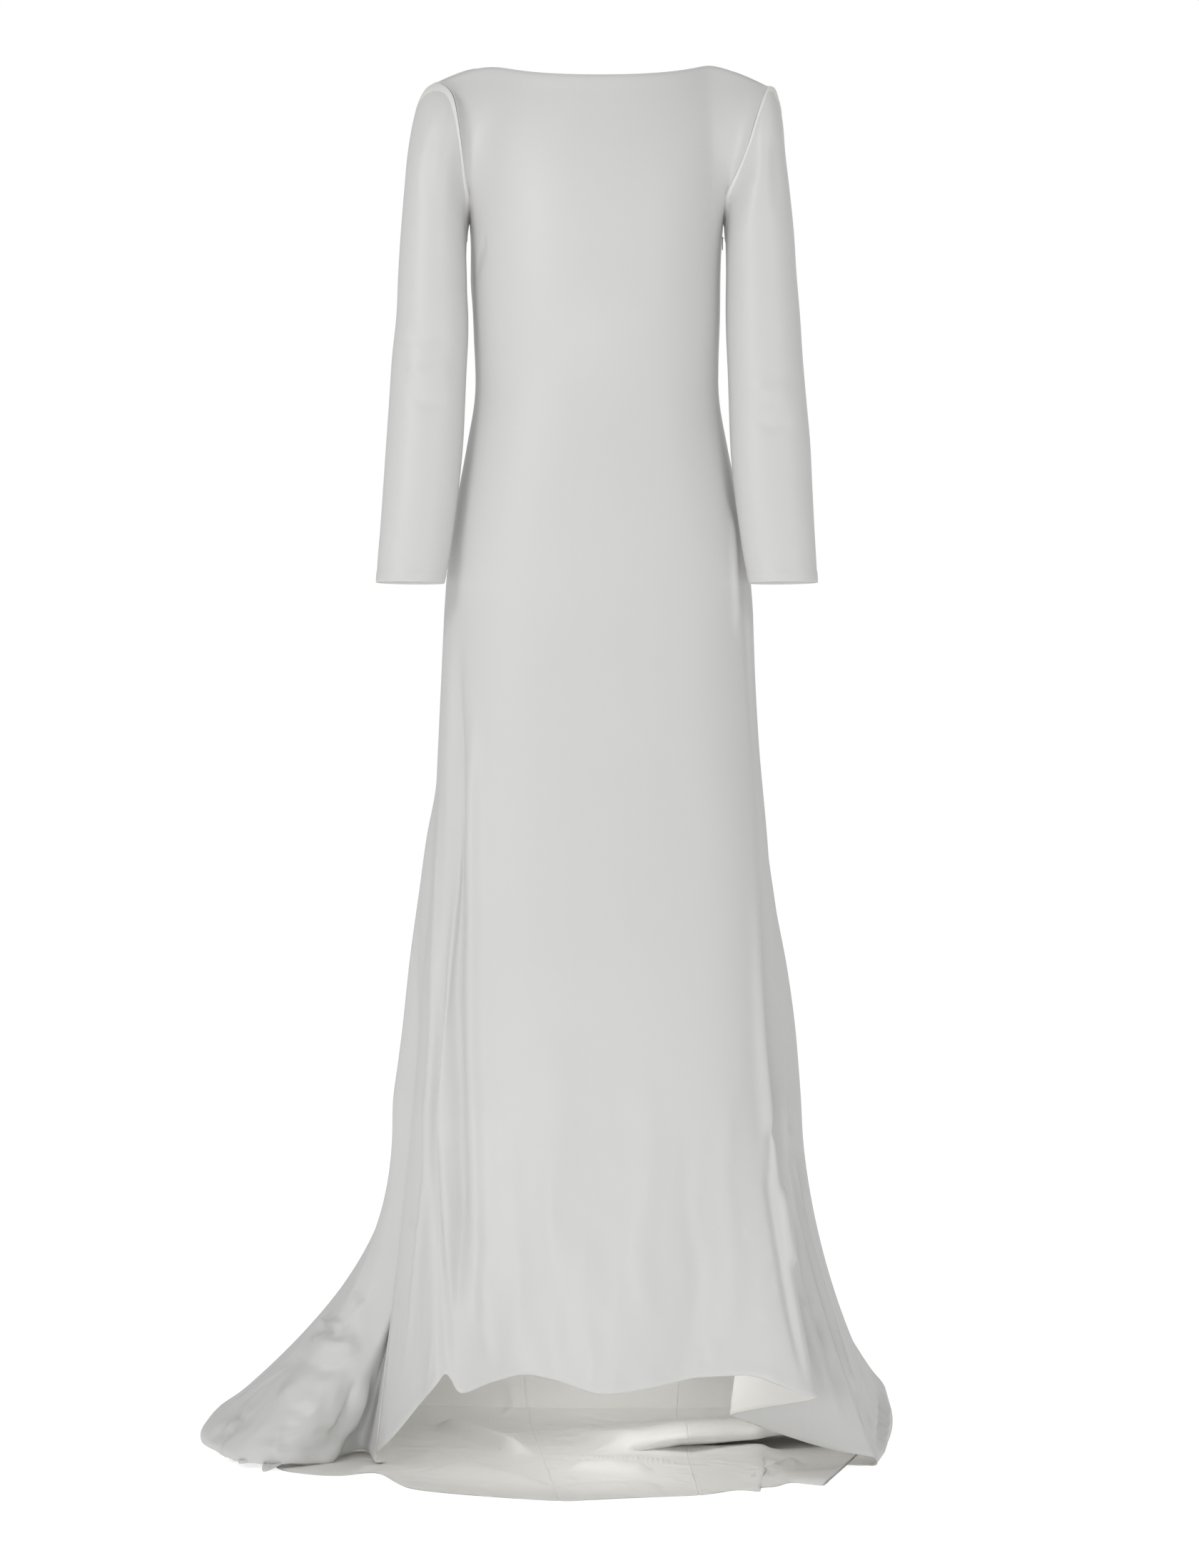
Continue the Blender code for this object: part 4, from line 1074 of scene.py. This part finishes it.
LEFT_DRAWN = (
    ("front", 5.5, -4.2, ((462, 1843), (480, 1858), (495, 1869), (510, 1877))),
    ("front", 6.5, 4.6, ((450, 1850), (470, 1858), (488, 1869), (508, 1878))),
    ("front", 6.0, -5.0, ((436, 1863), (458, 1866), (480, 1872), (496, 1878))),
    ("front", 6.0, 4.5, ((440, 1873), (460, 1881), (485, 1887), (510, 1888))),
    ("front", 9.0, -3.5, ((400, 1905), (430, 1912), (460, 1914), (500, 1908))),
    ("front", 2.2, 1.8, ((490, 1808), (500, 1824), (511, 1838))),
    ("front", 7.0, -2.4, ((497, 1800), (505, 1830))),
    ("front", 2.4, -1.6, ((435, 1926), (470, 1922), (503, 1926))),
    ("front", 2.6, -1.8, ((395, 1974), (430, 1985), (465, 1987), (492, 1984))),
    ("front", 3.0, 1.6, ((385, 1984), (425, 1994), (460, 1997))),
    ("front", 2.6, -1.9, ((375, 1992), (420, 2001), (455, 2006), (482, 2004))),
    ("front", 2.8, -2.0, ((352, 2008), (395, 2024), (440, 2031), (472, 2028))),
    ("front", 3.2, 1.8, ((360, 2018), (395, 2033), (435, 2041))),
    ("front", 3.0, 2.2, ((296, 2000), (316, 1994), (340, 1998))),
    ("front", 2.6, -2.4, ((294, 2011), (316, 2009), (336, 2003))),
    ("front", 3.0, -1.8, ((315, 1978), (340, 1990), (352, 2006))),
    ("front", 4.0, 1.8, ((330, 1960), (345, 1982), (366, 1978))),
    ("front", 2.2, -1.4, ((477, 1938), (484, 1948), (481, 1960), (472, 1968))),
    ("front", 2.4, 1.5, ((452, 1955), (446, 1968), (439, 1986))),
    ("front", 3.4, 1.4, ((428, 1950), (436, 1968), (434, 1988))),
    ("front", 9.0, 5.5, ((520, 1925), (505, 1960), (490, 1995), (468, 2030), (440, 2052),
     (400, 2058))),
    ("front", 5.0, -3.5, ((498, 1930), (490, 1965), (478, 1995), (462, 2018))),
    ("front", 24.0, -7.0, ((575, 2040), (640, 2060), (700, 2078), (770, 2090))),
    ("front", 13.0, -9.0, ((610, 1996), (655, 2012), (700, 2026), (740, 2044))),
)
LEFT_SLEEVE_DRAWN = (
    ("front", 8.0, -1.8, ((568, 466), (594, 478), (630, 468))),
    ("front", 9.0, 1.6, ((566, 512), (596, 526), (634, 514))),
    ("front", 8.0, -1.5, ((570, 556), (600, 566), (628, 560))),
    ("front", 8.0, -1.4, ((614, 170), (604, 225), (596, 290))),
    ("behind", 8.0, -2.2, ((1050, 480), (1085, 492), (1118, 480))),
    ("behind", 8.0, -2.0, ((1052, 530), (1088, 540), (1120, 528))),
)
RIGHT_SLEEVE_DRAWN = (
    ("front", 8.0, -1.8, ((1056, 586), (1084, 598), (1112, 590))),
    ("front", 9.0, 1.5, ((1052, 540), (1080, 550), (1108, 540))),
    ("front", 8.0, -1.4, ((1080, 180), (1086, 235), (1090, 300))),
    ("behind", 8.0, -2.2, ((562, 482), (592, 494), (628, 484))),
)


def sight(u, v, side):
    """Give the line of sight through a picture point, from the camera or its mirror place."""
    turn = 1.0 if side == "front" else -1.0
    eye = Vector((0.0, -turn * CAMERA_AWAY / MM, FLOOR + CAMERA_HIGH / MM))
    way = Vector((turn * (u - PICTURE_WIDE / 2.0), turn * FOCAL_PIXELS, PICTURE_TALL / 2.0 - v))
    return eye, way.normalized()


def on_cloth(grid, drawn, strength):
    """Find where creases drawn on the picture lie on a grid of cloth, in millimetres."""
    deeper, least_width = strength
    rows, columns = grid.shape[:2]
    corner = np.arange(rows * columns).reshape(rows, columns)
    faces = np.stack([corner[:-1, :-1], corner[1:, :-1], corner[1:, 1:], corner[:-1, 1:]], axis=-1)
    tree = BVHTree.FromPolygons(grid.reshape(-1, 3).tolist(), faces.reshape(-1, 4).tolist())
    creases = []
    for side, width, depth, path in drawn:
        hits = [tree.ray_cast(*sight(u, v, side))[0] for u, v in path]
        found = [tuple(hit) for hit in hits if hit is not None]
        if len(found) > 1:
            creases.append((found, max(width, least_width), depth * deeper))
    return creases


def path_distance(points, path):
    """Find each point's distance to a path, and how far along it the nearest place is."""
    path = np.array(path, dtype=float)
    lengths = np.linalg.norm(np.diff(path, axis=0), axis=1)
    run = np.concatenate([[0.0], np.cumsum(lengths)])
    nearest = np.full(points.shape[:-1], 1e9)
    along = np.zeros(points.shape[:-1])
    for k in range(len(path) - 1):
        way = (path[k + 1] - path[k]) / max(lengths[k], 1e-6)
        t = np.clip((points - path[k]) @ way, 0.0, lengths[k])
        gap = np.linalg.norm(points - (path[k] + t[..., None] * way), axis=-1)
        closer = gap < nearest
        nearest[closer] = gap[closer]
        along[closer] = (run[k] + t[closer]) / run[-1]
    return nearest, along


def press(grid, normals, creases, pinned=()):
    """Move a grid's points along its normals by its creases, but not at its pinned edges."""
    height = np.zeros(grid.shape[:2])
    for path, width, depth in creases:
        gap, along = path_distance(grid, path)
        fade = np.clip(np.minimum(along, 1.0 - along) / CREASE_FADE, 0.0, 1.0)
        fade = fade * fade * (3.0 - 2.0 * fade)
        height += depth * fade * np.exp(-(gap / width) ** 2)
    for edge in pinned:
        near = np.clip(edge_distance(grid, edge) / PIN_WIDTH, 0.0, 1.0)
        height *= near * near * (3.0 - 2.0 * near)
    return grid + normals * height[..., None]


# %% [markdown]
# Sewn edges
#
# Where two panels are sewn, the cloth dips into the seam and puckers slightly beside it. A hem is
# doubled, so it is thicker, with a faint line of stitches at its top. These are small moves of the
# outer points, measured by their distance from the panel's own edges.

# %% Seams, hems and the shell
SEAM_DIP = 0.6
SEAM_WIDTH = 1.7
PUCKER = 0.22
PUCKER_AWAY = 4.0
HEM_DEEP = 14.0
HEM_THICK = 0.7
STITCH_DIP = 0.35
STITCH_WIDTH = 1.3


def line_ways(grid, axis, ring):
    """Find the direction along one axis of a grid at each point, halving the turn at a bend."""
    lines = np.moveaxis(grid, axis, 0)
    steps = np.roll(lines, -1, axis=0) - lines
    steps /= np.maximum(np.linalg.norm(steps, axis=2, keepdims=True), 1e-9)
    before = np.roll(steps, 1, axis=0)
    if not ring:
        before[0] = steps[0]
        steps[-1] = before[-1]
    return np.moveaxis(steps + before, 0, axis)


def unit(vectors):
    """Make every vector one long."""
    return vectors / np.maximum(np.linalg.norm(vectors, axis=-1, keepdims=True), 1e-9)


def grid_normals(grid, ring=False):
    """Find the outward direction at each point of a grid, from its neighbours."""
    return unit(np.cross(line_ways(grid, 0, False), line_ways(grid, 1, ring)))


def edge_distance(grid, edge):
    """Measure the cloth's own distance, in millimetres, from one edge of a grid."""
    axis = 1 if edge in ("first", "last") else 0
    steps = np.linalg.norm(np.diff(grid, axis=axis), axis=2)
    if axis == 0:
        steps = steps.T
    flip = edge in ("last", "bottom")
    if flip:
        steps = steps[:, ::-1]
    run = np.concatenate([np.zeros((steps.shape[0], 1)), np.cumsum(steps, axis=1)], axis=1)
    if flip:
        run = run[:, ::-1]
    return run if axis == 1 else run.T


def sew(grid, normals, edges, seed):
    """Dip a grid into its seams, with small puckers beside them."""
    height = np.zeros(grid.shape[:2])
    for edge in edges:
        gap = edge_distance(grid, edge)
        count = grid.shape[0] if edge in ("first", "last") else grid.shape[1]
        place = np.arange(count) * 1.0
        wave = np.sin(place * 0.9 + seed) * np.sin(place * 0.37 + 2.0 * seed)
        wave = wave[:, None] if edge in ("first", "last") else wave[None, :]
        height -= SEAM_DIP * np.exp(-(gap / SEAM_WIDTH) ** 2)
        height += PUCKER * wave * np.exp(-((gap - PUCKER_AWAY) / PUCKER_AWAY) ** 2)
    return grid + normals * height[..., None]


def hem(grid, normals, edge):
    """Thicken a hem and mark its stitches."""
    gap = edge_distance(grid, edge)
    rise = HEM_THICK / (1.0 + np.exp((gap - HEM_DEEP) * 1.2))
    stitch = -STITCH_DIP * np.exp(-((gap - HEM_DEEP) / STITCH_WIDTH) ** 2)
    return grid + normals * (rise + stitch)[..., None]


def edge_round(outer, inner, beyond):
    """Find the middle of a rounded edge between the outer and the inner cloth."""
    way = unit(outer - beyond)
    return (outer + inner) / 2.0 + way * WALL * 0.45


def shell(name, outer, normals, crumple, ring=False):
    """Make a thin closed sheet: outer cloth, inner cloth and rounded edges."""
    inner = outer - normals * WALL
    rows, columns = outer.shape[:2]
    top = edge_round(outer[0], inner[0], outer[1])
    bottom = edge_round(outer[-1], inner[-1], outer[-2])
    points = [outer.reshape(-1, 3), inner.reshape(-1, 3), top, bottom]
    back = rows * columns
    top_from = 2 * back
    bottom_from = top_from + columns
    if not ring:
        first = edge_round(outer[1:-1, 0], inner[1:-1, 0], outer[1:-1, 1])
        last = edge_round(outer[1:-1, -1], inner[1:-1, -1], outer[1:-1, -2])
        points += [first, last]
    spans = columns if ring else columns - 1
    i, j = np.meshgrid(np.arange(rows - 1), np.arange(spans), indexing="ij")
    k = (j + 1) % columns
    a, b = i * columns + j, i * columns + k
    c, d = (i + 1) * columns + k, (i + 1) * columns + j
    outside = np.stack([a, d, c, b], axis=-1).reshape(-1, 4)
    inside = outside[:, ::-1] + back
    j = np.arange(spans)
    k = (j + 1) % columns
    low = (rows - 1) * columns
    strips = [
        np.stack([j, k, top_from + k, top_from + j], axis=-1),
        np.stack([top_from + j, top_from + k, back + k, back + j], axis=-1),
        np.stack([low + k, low + j, bottom_from + j, bottom_from + k], axis=-1),
        np.stack([bottom_from + k, bottom_from + j, back + low + j, back + low + k], axis=-1),
    ]
    if not ring:
        i = np.arange(rows)
        first_from = bottom_from + columns
        ids = np.concatenate([[top_from], first_from + np.arange(rows - 2), [bottom_from]])
        upper, lower = i[:-1] * columns, i[1:] * columns
        strips.append(np.stack([lower, upper, ids[:-1], ids[1:]], axis=-1))
        strips.append(np.stack([ids[1:], ids[:-1], back + upper, back + lower], axis=-1))
        last_from = first_from + rows - 2
        edge = columns - 1
        ids = np.concatenate([[top_from + edge], last_from + np.arange(rows - 2),
                              [bottom_from + edge]])
        upper, lower = upper + edge, lower + edge
        strips.append(np.stack([upper, lower, ids[1:], ids[:-1]], axis=-1))
        strips.append(np.stack([ids[:-1], ids[1:], back + lower, back + upper], axis=-1))
    faces = np.concatenate([outside, inside] + strips)
    points = np.concatenate(points) * MM
    mesh = bpy.data.meshes.new(name)
    mesh.from_pydata(points.tolist(), [], faces.tolist())
    mesh.update()
    mesh.materials.append(SATIN_OUTSIDE)
    # The inside's slot takes the satin with painted warm bounce light.
    mesh.materials.append(SATIN_INSIDE_PAINTED_BOUNCE)
    slots = np.zeros(len(faces), dtype=np.int32)
    slots[len(outside):2 * len(outside)] = 1
    mesh.polygons.foreach_set("material_index", slots)
    mesh.polygons.foreach_set("use_smooth", np.ones(len(faces), dtype=bool))
    add_cloth_map(mesh, outer, ring, len(points))
    layer = mesh.attributes.new("crumple", "FLOAT", "POINT")
    values = np.zeros(len(points), dtype=np.float32)
    values[:back] = crumple.reshape(-1)
    values[back:2 * back] = crumple.reshape(-1)
    layer.data.foreach_set("value", values)
    thing = bpy.data.objects.new(name, mesh)
    bpy.context.scene.collection.objects.link(thing)
    return thing


def add_cloth_map(mesh, outer, ring, count):
    """Lay the cloth's own UV map, in metres across and along the panel."""
    across = edge_distance(outer, "first") * MM
    along = edge_distance(outer, "top") * MM
    flat = np.zeros((count, 2))
    size = outer.shape[0] * outer.shape[1]
    flat[:size, 0] = across.reshape(-1)
    flat[:size, 1] = along.reshape(-1)
    flat[size:2 * size] = flat[:size]
    layer = mesh.uv_layers.new(name="cloth")
    corners = np.zeros(len(mesh.loops), dtype=np.int64)
    mesh.loops.foreach_get("vertex_index", corners)
    layer.data.foreach_set("uv", flat[corners].reshape(-1))


def crumple_mask(grid, low_from, low_to, least, most):
    """Grow the crumples from one height to another, as the hem is handled most."""
    down = np.clip((low_from - grid[..., 2]) / (low_from - low_to), 0.0, 1.0)
    return least + (most - least) * down * down


def finished_sheet(name, node, grid, handled, drawn, strength, seed, ring=False):
    """Press, sew and hem one panel, give it its wall, and put it in place of its frame node."""
    seams = ("top",) if ring else ("first", "last")
    hems = ("bottom",) if ring else ("top", "bottom")
    normals = grid_normals(grid, ring)
    grid = press(grid, normals, on_cloth(grid, drawn, strength), seams)
    grid[..., 2] = np.maximum(grid[..., 2], FLOOR + LEAST_HIGH)
    normals = grid_normals(grid, ring)
    grid = sew(grid, normals, seams, seed)
    for edge in hems:
        grid = hem(grid, normals, edge)
    normals = grid_normals(grid, ring)
    thing = shell(name, grid, normals, crumple_mask(grid, *handled), ring)
    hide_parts(node)
    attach(thing, "gown")
    area_now = sum(face.area for face in thing.data.polygons) / 2.0
    print(name, "faces", len(thing.data.polygons), "half area", round(area_now, 3), "m2")
    return thing


# %% [markdown]
# The front
#
# One panel from the bateau neck to the wavy hem, twelve centimetres off the floor. On the right
# its hem turns back and forward again in one flat pleat.

# %% Front
# Handled: the heights between which the crumples grow, and their least and most strength.
# Cut: the width and length of the cloth laid flat, in metres, and its area in square metres.
FRONT_HANDLED = (-850.0, -1500.0, 0.03, 0.45)
finished_sheet("front_panel", "front", soften(front_points, 2), FRONT_HANDLED, FRONT_DRAWN,
               FRONT_PRESS, 0.3)


# %% [markdown]
# The back
#
# Two long seams part the back into a middle and two sides. They show on the train's inner side,
# where it comes forward under the front hem. The hem lies on the floor.

# %% Back panels
back_points = soften(back_points, 2)[:, ::-1]
back_creases = list(FLOOR_CREASES) + on_cloth(back_points, BACK_DRAWN, PLAIN_PRESS)
back_points = press(back_points, grid_normals(back_points), back_creases)
shares = np.array(BACK_SHARES[::-1])
right_cut = int(np.argmin(np.abs(shares - BACK_SEAMS[1])))
left_cut = int(np.argmin(np.abs(shares - BACK_SEAMS[0])))
BACK_HANDLED = (-900.0, -1560.0, 0.05, 0.9)
BACK_PANELS = (
    ("back_panel_right", "side_back_right", 0, right_cut, RIGHT_DRAWN, RIGHT_PRESS,
     (0.60, 2.03, 0.57), 1.1),
    ("back_panel_middle", "back", right_cut, left_cut, MIDDLE_DRAWN, MIDDLE_PRESS,
     (0.29, 2.11, 0.40), 1.9),
    ("back_panel_left", "side_back_left", left_cut, len(shares) - 1, LEFT_DRAWN, LEFT_PRESS,
     (0.70, 2.26, 0.63), 2.7),
)
for name, node, first, last, drawn, strength, cut, seed in BACK_PANELS:
    finished_sheet(name, node, back_points[:, first:last + 1], BACK_HANDLED, drawn, strength,
                   seed)


# %% [markdown]
# The sleeves
#
# Smooth narrow tubes with a little ease at the elbow, and a plain turned cuff.

# %% Sleeves
SLEEVE_HANDLED = (-150.0, -600.0, 0.03, 0.12)
for side, grid, drawn, seed in (("left", left_sleeve, LEFT_SLEEVE_DRAWN, 0.7),
                                ("right", right_sleeve, RIGHT_SLEEVE_DRAWN, 1.3)):
    finished_sheet("sleeve_" + side + "_cloth", "sleeve_" + side, grid, SLEEVE_HANDLED, drawn,
                   PLAIN_PRESS, seed, ring=True)


# %% [markdown]
# The zip
#
# A fine zip closes the right side seam from the underarm to the hip. Only its slider and the ivory
# pull tab show. Both start as plain blocks at their frame node's place. Bevels round them, and the
# tab swings with its own body, so it is a piece of its own.

# %% Zip metal
ZIP_IVORY = (0.84, 0.82, 0.76, 1.0)


def enamel(name, colour, roughness):
    """Make painted metal with a faint brushed drift in its gloss."""
    material = bpy.data.materials.new(name)
    material.use_nodes = True
    tree = material.node_tree
    shader = tree.nodes["Principled BSDF"]
    place = tree.nodes.new("ShaderNodeTexCoord")
    noise = tree.nodes.new("ShaderNodeTexNoise")
    noise.inputs["Scale"].default_value = 900.0
    tree.links.new(place.outputs["Object"], noise.inputs["Vector"])
    colours = tree.nodes.new("ShaderNodeValToRGB")
    colours.color_ramp.elements[0].color = tuple(value * 0.9 for value in colour[:3]) + (1.0,)
    colours.color_ramp.elements[1].color = colour
    tree.links.new(noise.outputs["Fac"], colours.inputs["Fac"])
    tree.links.new(colours.outputs["Color"], shader.inputs["Base Color"])
    gloss = tree.nodes.new("ShaderNodeMapRange")
    gloss.inputs["To Min"].default_value = roughness
    gloss.inputs["To Max"].default_value = roughness + 0.15
    tree.links.new(noise.outputs["Fac"], gloss.inputs["Value"])
    tree.links.new(gloss.outputs["Result"], shader.inputs["Roughness"])
    bump = tree.nodes.new("ShaderNodeBump")
    bump.inputs["Distance"].default_value = 0.00003
    tree.links.new(noise.outputs["Fac"], bump.inputs["Height"])
    tree.links.new(bump.outputs["Normal"], shader.inputs["Normal"])
    shader.inputs["Coat Weight"].default_value = 0.3
    return material


IVORY = enamel("ivory_enamel", ZIP_IVORY, 0.3)
TEETH = enamel("zip_teeth", (0.78, 0.77, 0.73, 1.0), 0.4)


def deselect():
    """Leave edit mode and drop any selection."""
    if bpy.context.object is not None and bpy.context.object.mode != "OBJECT":
        bpy.ops.object.mode_set(mode="OBJECT")
    bpy.ops.object.select_all(action="DESELECT")


def bevelled_block(name, low, high, width, material):
    """Add a block between two corners, in millimetres, with rounded edges."""
    deselect()
    middle = [(a + b) / 2.0 * MM for a, b in zip(low, high)]
    size = [(b - a) * MM for a, b in zip(low, high)]
    bpy.ops.mesh.primitive_cube_add(size=1.0, location=middle)
    thing = bpy.context.object
    thing.name = name
    thing.scale = size
    bpy.ops.object.transform_apply(location=True, rotation=True, scale=True)
    bpy.ops.object.mode_set(mode="EDIT")
    bpy.ops.mesh.select_all(action="SELECT")
    bpy.ops.mesh.bevel(offset=width * MM, segments=3, affect="EDGES")
    bpy.ops.object.mode_set(mode="OBJECT")
    bpy.ops.object.shade_smooth_by_angle(angle=math.radians(40.0))
    thing.data.materials.clear()
    thing.data.materials.append(material)
    return thing


def joined(name, things):
    """Join several objects into one piece."""
    deselect()
    for thing in things:
        thing.select_set(True)
    bpy.context.view_layer.objects.active = things[0]
    bpy.ops.object.join()
    things[0].name = name
    return things[0]


# %% Slider and pull
slider_low, slider_high = (np.array(corner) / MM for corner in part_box("zip_slider"))
pull_low, pull_high = (np.array(corner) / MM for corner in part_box("zip_pull"))
EYE_RADIUS = 1.45
pin_x = (pull_low[0] + pull_high[0]) / 2.0
pin_y = (pull_low[1] + pull_high[1]) / 2.0
pin_z = pull_high[2] - EYE_RADIUS
plate = bevelled_block(
    "slider_plate", slider_low, (slider_low[0] + 1.5, slider_high[1], slider_high[2]), 0.5, IVORY)
lugs = []
for side in (-1.0, 1.0):
    near = pin_y + side * 1.6
    far = pin_y + side * 2.5
    lug_low = (slider_low[0] + 1.2, min(near, far), pin_z - 1.1)
    lug_high = (slider_high[0], max(near, far), pin_z + 1.1)
    lugs.append(bevelled_block("lug", lug_low, lug_high, 0.3, IVORY))
deselect()
bpy.ops.mesh.primitive_cylinder_add(
    vertices=24, radius=0.5 * MM, depth=4.0 * MM,
    location=(pin_x * MM, pin_y * MM, pin_z * MM), rotation=(math.pi / 2.0, 0.0, 0.0))
bpy.ops.object.transform_apply(location=True, rotation=True, scale=True)
bpy.ops.object.shade_smooth_by_angle(angle=math.radians(40.0))
bar = bpy.context.object
bar.data.materials.append(IVORY)
slider = joined("slider_cloth_zip", [plate] + lugs + [bar])
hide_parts("zip_slider")
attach(slider, "gown")

deselect()
bpy.ops.mesh.primitive_torus_add(
    location=(pin_x * MM, pin_y * MM, pin_z * MM), rotation=(math.pi / 2.0, 0.0, 0.0),
    major_radius=1.08 * MM, minor_radius=0.33 * MM, major_segments=32, minor_segments=12)
bpy.ops.object.transform_apply(location=True, rotation=True, scale=True)
bpy.ops.object.shade_smooth()
eye = bpy.context.object
eye.data.materials.append(IVORY)
tab = bevelled_block(
    "tab", (pin_x - 0.7, pull_low[1] + 0.15, pull_low[2] + 0.1),
    (pin_x + 0.7, pull_high[1] - 0.15, pin_z - 0.95), 0.45, IVORY)
pull = joined("zip_pull_tab", [eye, tab])
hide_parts("zip_pull")
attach(pull, "pull")
print("slider and pull at", [round(value, 2) for value in (pin_x, pin_y, pin_z)])

# %% [markdown]
# Zip teeth
#
# The coil lies just inside the seam. One tooth is modelled and copied down the seam.

# %% Teeth
TOOTH_STEP = 1.9
ZIP_END = -500.0
teeth = []
z = ZIP_HEIGHT + 4.0
first_tooth = bevelled_block("tooth", (-0.55, -1.3, -0.55), (0.55, 1.3, 0.55), 0.25, TEETH)
while z > ZIP_END:
    tooth = first_tooth.copy()
    tooth.data = first_tooth.data.copy()
    bpy.context.scene.collection.objects.link(tooth)
    tooth.location = ((section("seam_r", z) - WALL - 0.9) * MM, section("seam_y", z) * MM, z * MM)
    teeth.append(tooth)
    z -= TOOTH_STEP
bpy.data.objects.remove(first_tooth)
deselect()
for tooth in teeth:
    tooth.select_set(True)
bpy.context.view_layer.objects.active = teeth[0]
bpy.ops.object.transform_apply(location=True, rotation=True, scale=True)
coil = joined("zip_coil", teeth)
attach(coil, "gown")
print("teeth:", len(teeth))

# %% Sizes and finish
DRESSED_BOX = [list(corner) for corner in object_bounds()]
grown = [[round((b - a) * 1000, 1) for a, b in zip(x, y)] for x, y in zip(CAD_BOX, DRESSED_BOX)]
print("grown by mm:", grown)
